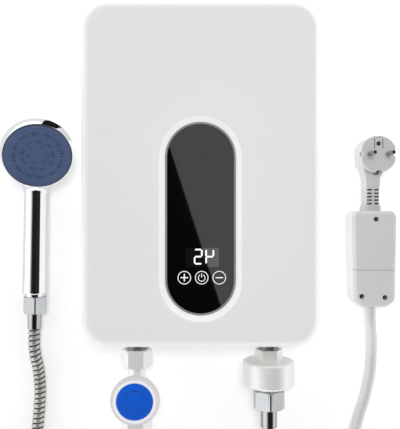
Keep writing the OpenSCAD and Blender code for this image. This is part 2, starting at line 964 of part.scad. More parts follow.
spider_low_u = sensor_u + spider_inset;
spider_high_u = sensor_top_u - sensor_socket - spider_t - 2;

module flow_sensor_body() {
  color("white") {
    difference() {
      union() {
        up_from_bottom(-inlet_x, sensor_u)
          rotate_extrude()
            soft_section(sensor_r, 1.5, sensor_l);
        translate([-inlet_x - 6, bottom_y + sensor_u + 14, fitting_z + sensor_bore_r + 1])
          cube([12, 16, 9]);
      }
      up_from_bottom(-inlet_x, sensor_u - 1)
        cylinder(r = thread_r + snug, h = nipple_in - sensor_u + 1);
      up_from_bottom(-inlet_x, nipple_in - 1)
        cylinder(r = sensor_bore_r, h = sensor_top_u - sensor_socket - nipple_in + 1);
      up_from_bottom(-inlet_x, nipple_in)
        cylinder(r = pipe_r + snug, h = sensor_l);
    }
    spider(spider_low_u);
    spider(spider_high_u);
  }
}

rotor_u = spider_low_u + spider_t + apart;
rotor_l = spider_high_u - rotor_u - apart;

module flow_rotor() {
  color("dodgerblue")
    up_from_bottom(-inlet_x, rotor_u)
      difference() {
        union() {
          cylinder(r = hub_r, h = rotor_l);
          linear_extrude(rotor_l, twist = vane_twist, slices = 6, $fn = 12)
            for (k = [0:vane_count - 1])
              rotate(k * 360 / vane_count)
                translate([hub_r / 2, -vane_t / 2])
                  square([sensor_bore_r - 0.6 - hub_r / 2, vane_t]);
        }
        translate([0, 0, -1])
          cylinder(r = axle_r + running, h = rotor_l + 2);
      }
}

module rotor_axle() {
  color("silver")
    up_from_bottom(-inlet_x, spider_low_u)
      cylinder(r = axle_r, h = spider_high_u + spider_t - spider_low_u);
}

inlet_pipe_u = sensor_top_u - sensor_socket + 0.2;
inlet_pipe_l = tank_u - nozzle_l / 2 - inlet_pipe_u;

module inlet_pipe() {
  color("darkgoldenrod")
    difference() {
      union() {
        up_from_bottom(-inlet_x, inlet_pipe_u)
          cylinder(r = pipe_r, h = inlet_pipe_l);
        translate([-inlet_x - pad_w / 2, bottom_y + pad_u, fitting_z - pipe_r - 1])
          cube([pad_w, pad_l, pad_h + pipe_r + 1]);
      }
      up_from_bottom(-inlet_x, inlet_pipe_u - 1)
        cylinder(r = pipe_r - pipe_wall, h = inlet_pipe_l + 2);
    }
}

module heating_tank() {
  bore = pipe_r - pipe_wall;
  socket = pipe_r + snug;
  nozzle = pipe_r + nozzle_wall;
  inner = tank_r - tank_wall;
  half_nozzle = nozzle_l / 2;
  color("silver")
    difference() {
      up_from_bottom(-inlet_x, tank_u)
        rotate_extrude()
          polygon([
            [socket, -nozzle_l], [nozzle, -nozzle_l], [nozzle, 0], [tank_r - end_round, 0],
            [tank_r, end_round], [tank_r, tank_l - end_round], [tank_r - end_round, tank_l],
            [nozzle, tank_l], [nozzle, tank_l + nozzle_l], [socket, tank_l + nozzle_l],
            [socket, tank_l + half_nozzle], [bore, tank_l + half_nozzle],
            [bore, tank_l - end_plate_t], [inner - end_round, tank_l - end_plate_t],
            [inner, tank_l - end_plate_t - end_round], [inner, end_plate_t + end_round],
            [inner - end_round, end_plate_t], [bore, end_plate_t],
            [bore, -half_nozzle], [socket, -half_nozzle]
          ]);
      for (s = [-1, 1])
        up_from_bottom(-inlet_x + s * element_pitch, tank_top_u - end_plate_t - 1)
          cylinder(r = element_r + snug, h = end_plate_t + 2);
    }
}

module heating_element() {
  color("dimgray") {
    for (s = [-1, 1]) {
      up_from_bottom(-inlet_x + s * element_pitch, element_bend_u)
        cylinder(r = element_r, h = tank_top_u + element_out - element_bend_u);
      up_from_bottom(-inlet_x + s * element_pitch, tank_top_u + element_out)
        cylinder(r = element_r / 2, h = 6);
    }
    translate([-inlet_x, bottom_y + element_bend_u, fitting_z])
      rotate([0, 0, 180])
        rotate_extrude(angle = 180)
          translate([element_pitch, 0])
            circle(element_r);
  }
}

module clamp_outline() {
  r = tank_r + snug;
  drop = fitting_z - clamp_foot_z;
  difference() {
    union() {
      circle(r + clamp_t);
      translate([-r - clamp_t, -drop])
        square([2 * (r + clamp_t), drop]);
      translate([-r - clamp_t - clamp_ear, -drop])
        square([2 * (r + clamp_t + clamp_ear), clamp_t]);
    }
    circle(r);
    translate([-r, -drop - 1])
      square([2 * r, drop + 1]);
  }
}

module tank_clamps() {
  color("silver")
    difference() {
      for (u = clamp_spots)
        translate([-inlet_x, bottom_y + u + clamp_w / 2, fitting_z])
          rotate([90, 0, 0])
            linear_extrude(clamp_w)
              clamp_outline();
      for (u = clamp_spots, s = [-1, 1])
        translate([-inlet_x + s * clamp_foot_x(), bottom_y + u, clamp_foot_z - 1])
          cylinder(r = pilot_r + snug, h = clamp_t + 2);
    }
}

module thermal_cutout() {
  foot = 4;
  color("tan")
    translate([-inlet_x, bottom_y + cutout_u, fitting_z])
      difference() {
        union() {
          translate([tank_r - foot, -9, -9])
            cube([foot + 2, 18, 18]);
          rotate([0, 90, 0])
            cylinder(r = 8, h = tank_r + 6);
          for (s = [-1, 1])
            translate([tank_r + 5, s * 4 - 0.4, -3])
              cube([6, 0.8, 6]);
        }
        rotate([-90, 0, 0])
          cylinder(r = tank_r + snug, h = 40, center = true);
      }
}

module temperature_probes() {
  color("burlywood")
    for (u = probe_spots)
      up_from_bottom(outlet_x, u)
        difference() {
          union() {
            cylinder(r = pipe_r + 1.6, h = probe_w);
            translate([0, -pipe_r - 2, 0])
              cylinder(r = 2.6, h = probe_w + 4);
          }
          translate([0, 0, -1])
            cylinder(r = pipe_r + snug, h = probe_w + 8);
        }
}

module pipe_section() {
  difference() {
    circle(pipe_r);
    circle(pipe_r - pipe_wall);
  }
}

// Quarter bend in the plane of the casing, with its middle at x and u
module pipe_elbow(x, u, turn) {
  translate([x, bottom_y + u, fitting_z])
    rotate([0, 0, turn])
      rotate_extrude(angle = 90)
        translate([elbow_r, 0])
          pipe_section();
}

module outlet_pipe() {
  start_u = tank_top_u + nozzle_l / 2 + 0.2;
  end_u = nipple_in - 6;
  color("darkgoldenrod") {
    up_from_bottom(-inlet_x, start_u)
      linear_extrude(elbow_u - start_u)
        pipe_section();
    pipe_elbow(-inlet_x + elbow_r, elbow_u, 90);
    translate([-inlet_x + elbow_r, bottom_y + elbow_u + elbow_r, fitting_z])
      rotate([0, 90, 0])
        linear_extrude(inlet_x + outlet_x - 2 * elbow_r)
          pipe_section();
    pipe_elbow(outlet_x - elbow_r, elbow_u, 0);
    up_from_bottom(outlet_x, end_u)
      linear_extrude(elbow_u - end_u)
        pipe_section();
  }
}

// Electrics inside the casing

module power_board() {
  top_z = power_z + board_t;
  color("darkgreen")
    difference() {
      translate([power_x, power_y, 0]) {
        translate([-power_w / 2, -power_h / 2, power_z])
          cube([power_w, power_h, board_t]);
        for (b = board_blocks)
          translate([b[0], b[1], top_z - 0.2])
            cube([b[2], b[3], b[4]]);
        for (c = board_cans)
          translate([c[0], c[1], top_z - 0.2])
            cylinder(r = c[2], h = c[3]);
      }
      for (p = power_posts)
        translate([p[0], p[1], power_z - 1])
          cylinder(r = pilot_r + snug, h = board_t + 2);
    }
}

module triac() {
  color("black")
    difference() {
      translate([-inlet_x - 7, bottom_y + pad_u + 1, fitting_z + pad_h]) {
        cube([14, 16, 1.4]);
        cube([14, 11, 4.6]);
        for (k = [0:2])
          translate([2.6 + 4 * k, -6, 2])
            cube([0.9, 7, 0.7]);
      }
      translate([-inlet_x, bottom_y + pad_u + 14.5, fitting_z + pad_h - 1])
        cylinder(r = 1.6, h = 4);
    }
}

module terminal_block() {
  color("ivory")
    difference() {
      translate([-terminal_w / 2, terminal_y - terminal_l / 2, back_t])
        cube([terminal_w, terminal_l, terminal_h]);
      for (k = [-1, 0, 1], s = [-1, 1])
        translate([k * 15, terminal_y + s * 6, back_t + terminal_h - 6])
          cylinder(r = 3, h = 8);
      for (k = [-0.5, 0.5])
        translate([k * 15 - 1, terminal_y - terminal_l / 2 - 1, back_t + terminal_h - 5])
          cube([2, terminal_l + 2, 8]);
    }
}

// Single conductor along hand-laid points
module wire(points, ref = [0, 0, 1]) {
  solid_tube(spline(points, 3), wire_r, 6, ref);
}

module wiring() {
  jacket_y = bottom_y + 15;
  block_x = -terminal_w / 2;
  block_z = back_t + 6;
  board_z = power_z + board_t + wire_r;
  board_low_y = power_y - power_h / 2;
  pin_y = bottom_y + tank_top_u + element_out + 4;
  socket_z = display_top_z - board_t - display_socket_h;
  color("firebrick") {
    for (k = [-1, 0, 1])
      wire([
        [-inlet_x + 3.4 * k, jacket_y, gland_z], [-inlet_x + 3.4 * k, jacket_y + 8, gland_z],
        [-inlet_x + 12 + 3.4 * k, terminal_y + 3 + 4 * abs(k - 1), block_z + 1],
        [block_x - 8, terminal_y + 6 * k * -1, block_z], [block_x, terminal_y + 6 * k * -1, block_z]
      ]);
    for (k = [-1, 1])
      wire([
        [8 * k, terminal_y + terminal_l / 2, block_z], [8 * k, terminal_y + terminal_l / 2 + 10, block_z],
        [8 * k, board_low_y - 14, board_z], [8 * k, board_low_y + 1, board_z],
        [8 * k, board_low_y + 12, board_z]
      ]);
    wire([
      [-18, power_y + 62, board_z], [-18, power_y + 72, board_z], [-24, power_y + 94, board_z + 4],
      [-inlet_x + 31, pin_y - 12, fitting_z - 8], [-inlet_x + 22, pin_y - 1.5, fitting_z - 1],
      [-inlet_x + 18.6, pin_y, fitting_z], [-inlet_x + element_pitch + element_r / 2, pin_y, fitting_z]
    ]);
    wire([
      [-12, power_y + 62, board_z], [-12, power_y + 72, board_z], [-30, power_y + 94, board_z + 4],
      [-inlet_x + 9, pin_y - 10, board_z + 5], [-inlet_x - 13, pin_y - 7, board_z + 7],
      [-inlet_x - 25, pin_y - 4, fitting_z - 9], [-inlet_x - 29, pin_y - 1, fitting_z - 3],
      [-inlet_x - 25, pin_y, fitting_z], [-inlet_x - element_pitch - element_r / 2, pin_y, fitting_z]
    ]);
    wire([
      [16, display_y + 13, socket_z], [16, display_y + 13, socket_z - 3], [16, display_y + 13, socket_z - 6],
      [14, power_y - 34, 33], [14, power_y - 32, power_z + board_t + 6],
      [14, power_y - 32, power_z + board_t + 3], [14, power_y - 32, power_z + board_t]
    ], [1, 0, 0]);
  }
}

// Inlet valve

washer_top_t = nipple_out;
tail_t = washer_top_t + valve_washer_t;
union_shoulder_t = tail_t + tail_collar_t;

module valve_union_nut() {
  color("white")
    difference() {
      down_from_bottom(-inlet_x, union_nut_t0)
        hex_nut(union_nut_af, union_nut_l);
      down_from_bottom(-inlet_x, union_nut_t0 - 1)
        cylinder(r = thread_r + snug, h = union_shoulder_t - union_nut_t0 + 1);
      down_from_bottom(-inlet_x, union_nut_t0)
        cylinder(r = tail_r + snug, h = union_nut_l + 1);
    }
}

module valve_washer() {
  color("black")
    down_from_bottom(-inlet_x, washer_top_t)
      tube_ring(thread_r - 0.2, valve_bore_r, valve_washer_t);
}

module valve_body() {
  inlet_end_t = inlet_hex_t0 + inlet_hex_l + inlet_thread_l;
  color("gainsboro")
    difference() {
      union() {
        down_from_bottom(-inlet_x, tail_t)
          cylinder(r = tail_collar_r, h = tail_collar_t);
        down_from_bottom(-inlet_x, tail_t)
          cylinder(r = tail_r, h = valve_drop - tail_t);
        translate([-inlet_x, valve_y, valve_foot_z])
          cylinder(r = valve_body_r, h = valve_head_z - valve_foot_z);
        down_from_bottom(-inlet_x, valve_drop)
          cylinder(r = thread_r + 1.5, h = inlet_hex_t0 - valve_drop + 1);
        down_from_bottom(-inlet_x, inlet_hex_t0)
          hex_nut(inlet_hex_af, inlet_hex_l);
        down_from_bottom(-inlet_x, inlet_hex_t0 + inlet_hex_l)
          cylinder(r = thread_r, h = inlet_thread_l);
      }
      down_from_bottom(-inlet_x, tail_t - 1)
        cylinder(r = valve_bore_r, h = inlet_end_t - tail_t + 2);
      translate([-inlet_x, valve_y, fitting_z - chamber_r])
        cylinder(r = chamber_r, h = valve_head_z);
    }
}

module valve_bonnet() {
  color("gainsboro")
    translate([-inlet_x, valve_y, valve_head_z])
      difference() {
        union() {
          translate([0, 0, -spigot_h])
            cylinder(r = chamber_r - snug, h = spigot_h + 1);
          cylinder(r = bonnet_r, h = bonnet_t);
        }
        translate([0, 0, -spigot_h - 1])
          cylinder(r = stem_r + running, h = spigot_h + bonnet_t + 2);
      }
}

stem_top_z = knob_z + knob_h - cap_seat;

module valve_stem() {
  color("silver")
    translate([-inlet_x, valve_y, 0])
      difference() {
        union() {
          translate([0, 0, fitting_z])
            sphere(r = ball_r);
          translate([0, 0, fitting_z])
            cylinder(r = stem_r, h = knob_z + apart - fitting_z);
          translate([-drive_w / 2, -drive_w / 2, knob_z])
            cube([drive_w, drive_w, stem_top_z - knob_z - 1]);
        }
        translate([0, 0, fitting_z])
          rotate([90, 0, 0])
            cylinder(r = valve_bore_r - 0.6, h = 40, center = true);
      }
}

// Knob: a soft round ring with a hub on the square of the stem
module valve_knob() {
  ring_w = knob_r - cap_r;
  color("whitesmoke")
    translate([-inlet_x, valve_y, knob_z])
      difference() {
        rotate_extrude()
          polygon([
            [0, 0], [knob_r - 3, 0], [knob_r - 1, 0.8], [knob_r, 2.6], [knob_r - 0.4, 4.4],
            [knob_r - 1.6, 5.6], [cap_r + ring_w * 0.36, knob_h + 1], [cap_r + ring_w * 0.12, knob_h + 1.2],
            [cap_r + snug, knob_h + 0.6], [cap_r + snug, knob_h - cap_seat], [0, knob_h - cap_seat]
          ]);
        translate([0, 0, -1])
          tube_ring(knob_r - knob_wall, hub_outer_r, knob_h - cap_seat - 0.6);
        translate([-drive_w / 2 - snug, -drive_w / 2 - snug, -1])
          cube([drive_w + 2 * snug, drive_w + 2 * snug, knob_h]);
        translate([0, 0, -1])
          cylinder(r = stem_r + snug, h = 1 + apart + snug);
        for (a = [0:120:240])
          rotate([0, 0, a])
            translate([cap_r / 1.5, 0, -1])
              cylinder(r = cap_peg_r + snug, h = knob_h + 2);
      }
}

module knob_cap() {
  color("royalblue")
    translate([-inlet_x, valve_y, knob_z + knob_h - cap_seat]) {
      rotate_extrude()
        soft_section(cap_r, 1, cap_h);
      for (a = [0:120:240])
        rotate([0, 0, a])
          translate([cap_r / 1.5, 0, -1.8])
            cylinder(r = cap_peg_r, h = 2);
    }
}

// Hot outlet

module isolation_adapter() {
  color("white")
    difference() {
      union() {
        down_from_bottom(outlet_x, adapter_t0)
          hex(adapter_hex_af, adapter_hex_l + 1);
        down_from_bottom(outlet_x, adapter_drum_t)
          rotate_extrude() {
            translate([0, adapter_edge_r])
              square([adapter_r, adapter_l - 2 * adapter_edge_r]);
            square([adapter_r - adapter_edge_r, adapter_l]);
            for (v = [adapter_edge_r, adapter_l - adapter_edge_r])
              translate([adapter_r - adapter_edge_r, v])
                circle(adapter_edge_r);
          }
        down_from_bottom(outlet_x, adapter_drum_t + adapter_l - 1)
          cylinder(r = adapter_boss_r, h = adapter_boss_l + 1);
        down_from_bottom(outlet_x, adapter_end_t)
          cylinder(r = thread_r, h = adapter_thread_l);
      }
      down_from_bottom(outlet_x, adapter_t0 - 1)
        cylinder(r = thread_r + snug, h = nipple_out - adapter_t0 + 1.2);
      down_from_bottom(outlet_x, adapter_t0)
        cylinder(r = adapter_bore_r, h = adapter_end_t + adapter_thread_l);
    }
}

module outlet_hose_nut() {
  color("silver")
    difference() {
      down_from_bottom(outlet_x, hose_nut_t0)
        rotate([0, 0, 30])
          hex_nut(hose_nut_af, hose_nut_l);
      down_from_bottom(outlet_x, hose_nut_t0 - 1)
        cylinder(r = thread_r + snug, h = hose_nut_l - hose_nut_seat + 1);
      down_from_bottom(outlet_x, hose_nut_t0)
        cylinder(r = ferrule_r + snug, h = hose_nut_l + 1);
    }
}

module outlet_hose_ferrule() {
  color("silver")
    down_from_bottom(outlet_x, ferrule_t0)
      difference() {
        union() {
          cylinder(r = thread_r - 0.2, h = ferrule_flange_t);
          cylinder(r = ferrule_r, h = ferrule_l);
        }
        translate([0, 0, -1])
          cylinder(r = hose_bore_r, h = ferrule_l + 2);
      }
}

module hose_outlet_run() {
  color("silver")
    below_casing()
      ribbed_hose(hose_outlet_route);
}

module hose_handset_run() {
  color("silver")
    below_casing()
      ribbed_hose(hose_handset_route);
}

module hose_coil() {
  p = coil_path(hose_coil_at, hose_coil_r, hose_r, hose_coil_start, hose_coil_turn);
  echo(hose_coil_least_gap = coil_gap(p, hose_r));
  color("silver")
    below_casing()
      bored_tube(p, [for (q = p) hose_r], p, hose_bore_r, 6);
}

module hose_tie() {
  color("black")
    below_casing()
      coil_tie(hose_tie_u, hose_coil_at, hose_coil_r, hose_r, hose_coil_start, hose_coil_turn);
}

// Handset

// Along the handle from its lower end
module on_handset(s) {
  translate(handset_at)
    rotate([0, 0, handset_yaw])
      rotate([0, handset_roll, 0])
        translate([0, s, 0])
          children();
}

// Around the handle's axis, upwards
module around_handle(s) {
  on_handset(s)
    rotate([-90, 0, 0])
      children();
}

// On the axis of the head, at the spray face
module on_head() {
  on_handset(head_y)
    translate([0, 0, head_rise])
      rotate([head_tilt, 0, 0])
        children();
}

handset_flange_s = -handset_thread_l - apart - ferrule_flange_t;

module handset_hose_ferrule() {
  color("silver")
    difference() {
      union() {
        around_handle(-handset_ferrule_end)
          cylinder(r = handset_ferrule_r, h = handset_ferrule_end - handset_thread_l - apart);
        around_handle(handset_flange_s)
          cylinder(r = thread_r - 0.2, h = ferrule_flange_t);
      }
      around_handle(-handset_ferrule_end - 1)
        cylinder(r = hose_bore_r, h = handset_ferrule_end + 2);
    }
}

module handset_hose_nut() {
  nut_s = -handset_nut_gap - handset_nut_l;
  color("silver")
    difference() {
      around_handle(nut_s)
        rotate([0, 0, 30])
          hex_nut(handset_nut_af, handset_nut_l);
      around_handle(handset_flange_s - snug)
        cylinder(r = thread_r + snug, h = handset_nut_l);
      around_handle(nut_s - 1)
        cylinder(r = handset_ferrule_r + snug, h = handset_nut_l);
    }
}

function head_profile() = [for (f = head_form) [head_r * f[0], -head_depth * f[1]]];

module handset_body() {
  color("silver")
    difference() {
      union() {
        around_handle(0)
          rotate_extrude()
            polygon([
              [0, 0], [handle_r - handle_foot_in + handle_swell, 0], [handle_r + handle_swell, handle_foot_l],
              [handle_r, handle_l * 0.5], [handle_r - handle_swell, handle_l],
              [handle_r - handle_root_in, handle_l + handle_root_l], [0, handle_l + handle_root_l]
            ]);
        around_handle(-handset_thread_l)
          cylinder(r = thread_r, h = handset_thread_l + 1);
        on_head()
          rotate_extrude()
            polygon(concat(head_profile(), [[face_r, -head_depth * 0.02], [face_r, -face_t], [0, -face_t]]));
        hull() {
          around_handle(handle_l - 8)
            cylinder(r = handle_r - neck_sink, h = 8, $fn = 32);
          on_head()
            translate([0, neck_offset, -face_t - neck_offset - neck_l])
              cylinder(r1 = neck_low_r, r2 = neck_high_r, h = neck_l, $fn = 32);
        }
      }
      on_head()
        translate([0, 0, -face_t])
          cylinder(r = face_r + snug, h = head_depth);
      around_handle(-handset_thread_l - 1)
        cylinder(r = handset_bore_r, h = handle_l + handset_thread_l);
    }
}

module spray_face() {
  color("slategray")
    on_head()
      translate([0, 0, -face_t])
        rotate_extrude()
          soft_section(face_r, 1, face_t);
}

// Rings of nozzles: distance from the middle, number of groups and nozzles in a group
nozzle_rings = [[24.6, 12, 3], [15.8, 9, 2], [8.9, 6, 1]];

module spray_nozzles() {
  color("midnightblue")
    on_head()
      for (ring_row = nozzle_rings, g = [0:ring_row[1] - 1], k = [0:ring_row[2] - 1])
        rotate([0, 0, 360 * g / ring_row[1]])
          translate([ring_row[0], 3.2 * (k - (ring_row[2] - 1) / 2), 0])
            cylinder(r1 = nozzle_r, r2 = nozzle_r - 0.25, h = nozzle_h);
}

// Lead

module cord_gland() {
  color("white")
    translate([-inlet_x, bottom_y, gland_z])
      rotate([90, 0, 0])
        difference() {
          union() {
            cylinder(r1 = gland_r, r2 = gland_tip_r, h = gland_l);
            translate([0, 0, -casing_wall - gland_flange_t - 1])
              cylinder(r = cord_r + 2 - snug, h = casing_wall + gland_flange_t + 2);
          }
          translate([0, 0, 12 - snug])
            cylinder(r = cord_r + snug, h = gland_l);
          translate([0, 0, -20])
            cylinder(r = cord_r - 0.6, h = gland_l + 20);
        }
}

module cord_heater_run() {
  color("gainsboro")
    below_casing()
      plain_cord(cord_heater_route);
}

module cord_plug_run() {
  color("gainsboro")
    below_casing()
      plain_cord(cord_plug_route);
}

module cord_coil() {
  p = coil_path(cord_coil_at, cord_coil_r, cord_r, cord_coil_start, cord_coil_turn);
  echo(cord_coil_least_gap = coil_gap(p, cord_r));
  color("gainsboro")
    below_casing()
      solid_tube(p, cord_r, 6);
}

module cord_tie() {
  color("black")
    below_casing()
      coil_tie(cord_tie_u, cord_coil_at, cord_coil_r, cord_r, cord_coil_start, cord_coil_turn);
}

// Breaker block of a given outline inset, from z0 up to a chamfer at z1
module breaker_block(inset, z0, z1, edge) {
  r = breaker_corner_r - inset;
  half_top = breaker_w / 2 - inset;
  half_low = (breaker_w - breaker_taper) / 2 - inset;
  spots = [
    [half_top - r, breaker_top_y - inset - r], [-half_top + r, breaker_top_y - inset - r],
    [half_low - r, breaker_bottom_y + breaker_bulge + inset + r],
    [-half_low + r, breaker_bottom_y + breaker_bulge + inset + r],
    [half_low / 2, breaker_bottom_y + inset + r], [-half_low / 2, breaker_bottom_y + inset + r]
  ];
  hull()
    for (p = spots)
      translate([breaker_x + p[0], p[1], z0])
        rotate_extrude($fn = 24)
          polygon([
            [0, 0], [r - split_groove, 0], [r, split_groove], [r, z1 - z0 - edge], [r - edge, z1 - z0],
            [0, z1 - z0]
          ]);
}

// Hollow half of the breaker, standing on the split with its chamfer outwards
module breaker_half() {
  difference() {
    breaker_block(0, breaker_split_z, breaker_d, breaker_edge);
    breaker_block(
      breaker_wall, breaker_split_z - 1, breaker_d - breaker_wall, breaker_edge - breaker_wall / 2
    );
  }
}

module lead_openings() {
  translate([breaker_x, breaker_bottom_y - 1, lead_z])
    rotate([-90, 0, 0])
      cylinder(r = cord_r + snug, h = 12);
  translate([lead_x, breaker_top_y - 6, lead_z])
    rotate([-90, 0, 0])
      cylinder(r = cord_r + snug, h = 8);
}

module breaker_base() {
  button_wall_r = button_flange_r + apart + 1.4;
  color("whitesmoke")
    difference() {
      union() {
        translate([0, 0, breaker_d])
          mirror([0, 0, 1])
            breaker_half();
        for (p = breaker_screw_spots)
          translate([p[0], p[1], breaker_wall / 2])
            cylinder(r = breaker_post_r, h = breaker_split_z - breaker_wall / 2);
        for (s = [-1, 1])
          translate([breaker_x + s * button_dx, button_y, breaker_wall / 2])
            cylinder(r = button_wall_r, h = button_l + button_travel);
      }
      for (s = [-1, 1])
        translate([breaker_x + s * button_dx, button_y, -1]) {
          cylinder(r = button_r + apart, h = breaker_d);
          translate([0, 0, 1 + breaker_wall])
            cylinder(r = button_flange_r + apart, h = breaker_d);
        }
      for (p = breaker_screw_spots)
        translate([p[0], p[1], breaker_wall + 1])
          cylinder(r = breaker_screw_r + snug, h = breaker_d);
      lead_openings();
    }
}

module breaker_upper() {
  difference() {
    union() {
      breaker_half();
      for (p = breaker_screw_spots)
        translate([p[0], p[1], breaker_split_z])
          cylinder(r = breaker_post_r, h = breaker_split_z - breaker_wall / 2);
    }
    for (p = breaker_screw_spots)
      translate([p[0], p[1], breaker_split_z - 1]) {
        cylinder(r = breaker_screw_r + snug, h = breaker_d);
        translate([0, 0, breaker_split_z + 1 - breaker_head_sink - breaker_head_h])
          cylinder(r = breaker_head_r + apart, h = breaker_d);
      }
    lead_openings();
  }
}

module breaker_cover() {
  color("gainsboro")
    intersection() {
      breaker_upper();
      translate([breaker_x - breaker_w, terminal_seam_y + seam_gap / 2, 0])
        cube([2 * breaker_w, breaker_l, 2 * breaker_d]);
    }
}

module breaker_terminal_cover() {
  color("gainsboro")
    intersection() {
      breaker_upper();
      translate([breaker_x - breaker_w, terminal_seam_y - seam_gap / 2 - breaker_l, 0])
        cube([2 * breaker_w, breaker_l, 2 * breaker_d]);
    }
}

module breaker_screws() {
  head_z = breaker_d - breaker_head_sink - breaker_head_h;
  color("dimgray")
    for (p = breaker_screw_spots)
      translate([p[0], p[1], 0])
        difference() {
          union() {
            translate([0, 0, head_z])
              cylinder(r = breaker_head_r, h = breaker_head_h);
            translate([0, 0, breaker_wall + 3])
              cylinder(r = breaker_screw_r, h = head_z - breaker_wall - 2);
          }
          for (a = [0, 90])
            rotate([0, 0, a])
              translate([-1.6, -0.4, head_z + 0.8])
                cube([3.2, 0.8, 2]);
        }
}

module button(s) {
  translate([breaker_x + s * button_dx, button_y, button_sink]) {
    cylinder(r = button_r, h = button_l);
    translate([0, 0, breaker_wall + apart - button_sink])
      cylinder(r = button_flange_r, h = button_flange_t);
  }
}

module test_button() {
  color("gold")
    button(-1);
}

module reset_button() {
  color("forestgreen")
    button(1);
}

// Slotted sleeve between the plug and the breaker
module plug_strain_relief() {
  slot_l = (relief_w - web_t) / 2 - 1;
  color("lightgray")
    difference() {
      union() {
        translate([lead_x, breaker_top_y + relief_collar_l, lead_z])
          rotate([90, 0, 0])
            linear_extrude(relief_collar_l)
              rounded_rect(relief_w + 3, relief_d + 2, 4);
        translate([lead_x, breaker_top_y, lead_z])
          rotate([90, 0, 0])
            cylinder(r = cord_r, h = 5);
        translate([lead_x, breaker_top_y + relief_l, lead_z])
          rotate([90, 0, 0])
            linear_extrude(relief_l - relief_collar_l + 0.5)
              rounded_rect(relief_w, relief_d, 3);
      }
      for (k = [0:slot_count - 1], sx = [-1, 1], sz = [-1, 1])
        translate([
          lead_x + sx * (web_t + slot_l) / 2,
          breaker_top_y + relief_collar_l + 1 + k * slot_pitch + slot_w / 2,
          lead_z + sz * (relief_d - slot_d + 1) / 2
        ])
          cube([slot_l, slot_w, slot_d + 1], center = true);
    }
}

plug_neck_y = breaker_top_y + relief_l;
plug_back_z = lead_z - relief_d / 2;
plug_shoulder_z = lead_z + relief_d / 2;

// Round outline of the plug with its two flat sides
module plug_outline(r) {
  intersection() {
    circle(r);
    square([2 * plug_flat, 2 * r], center = true);
  }
}

module plug_body() {
  plug_neck_l = plug_y - plug_neck_y;
  neck_x = lead_x - plug_x;
  color("lightgray")
    difference() {
      union() {
        translate([plug_x, plug_y, plug_back_z])
          linear_extrude(plug_shoulder_z - plug_back_z) {
            plug_outline(plug_r);
            polygon([
              [-plug_flat, 0], [plug_flat, 0], [neck_x + relief_w / 2, -plug_taper_l],
              [neck_x + relief_w / 2, -plug_neck_l], [neck_x - relief_w / 2, -plug_neck_l],
              [neck_x - relief_w / 2, -plug_taper_l]
            ]);
          }
        translate([plug_x, plug_y, plug_shoulder_z - 1])
          intersection() {
            rotate_extrude()
              soft_section(plug_r, plug_edge_r, plug_face_z - plug_shoulder_z + 1);
            linear_extrude(plug_face_z)
              plug_outline(plug_r + 1);
          }
      }
      translate([plug_x, plug_y + earth_hole_y, plug_face_z - earth_hole_d])
        cylinder(r = earth_hole_r, h = earth_hole_d + 1);
      for (s = [-1, 1])
        translate([
          plug_x + s * earth_slit_x - earth_slit_w / 2, plug_y + earth_hole_y - earth_slit_l / 2,
          plug_face_z - earth_slit_d
        ])
          cube([earth_slit_w, earth_slit_l, earth_slit_d + 1]);
      for (s = [-1, 1])
        translate([plug_x + s * pin_pitch / 2, plug_y, plug_face_z - pin_root])
          cylinder(r = pin_r - pin_waist + snug, h = pin_root + 1);
      for (s = [-1, 1])
        translate([plug_x - clip_w / 2 - snug, plug_y + s * plug_r - 2, plug_face_z - clip_l])
          cube([clip_w + 2 * snug, 4, clip_l + 1]);
      for (s = [-1, 1])
        translate([plug_x + s * plug_flat - guide_d, plug_y - guide_w / 2, plug_shoulder_z])
          cube([2 * guide_d, guide_w, plug_face_z]);
    }
}

module plug_pins() {
  color("silver")
    for (s = [-1, 1])
      translate([plug_x + s * pin_pitch / 2, plug_y, plug_face_z]) {
        rotate_extrude()
          soft_section(pin_r, 1.2, pin_l);
        translate([0, 0, -pin_root])
          cylinder(r = pin_r - pin_waist, h = pin_root + 1);
      }
}

module plug_earth_clips() {
  color("silver")
    for (s = [-1, 1])
      translate([
        plug_x - clip_w / 2, plug_y + s * (plug_r - 2 + clip_t / 2) - clip_t / 2, plug_face_z - clip_l
      ])
        cube([clip_w, clip_t, clip_l - 1]);
}

rear_cover();
front_cover();
casing_seal();
housing_screws();
panel_bezel();
glass_panel();
display_board();
led_display();
inlet_nipple();
outlet_nipple();
lock_nuts();
nipple_washers();
flow_sensor_body();
flow_rotor();
rotor_axle();
inlet_pipe();
heating_tank();
heating_element();
tank_clamps();
thermal_cutout();
temperature_probes();
outlet_pipe();
power_board();
triac();
terminal_block();
wiring();
valve_union_nut();
valve_washer();
valve_body();
valve_bonnet();
valve_stem();
valve_knob();
knob_cap();
isolation_adapter();
outlet_hose_nut();
outlet_hose_ferrule();
hose_outlet_run();
hose_coil();
hose_handset_run();
hose_tie();
handset_hose_ferrule();
handset_hose_nut();
handset_body();
spray_face();
spray_nozzles();
cord_gland();
cord_heater_run();
cord_coil();
cord_plug_run();
cord_tie();
breaker_base();
breaker_cover();
breaker_terminal_cover();
breaker_screws();
test_button();
reset_button();
plug_strain_relief();
plug_body();
plug_pins();
plug_earth_clips();
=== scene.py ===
"""Looks of the tankless electric water heater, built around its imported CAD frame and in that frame.

Sizes, routes and grids of points are in millimetres, and build() turns them into metres. The camera's and
the lamps' places are in metres.
"""

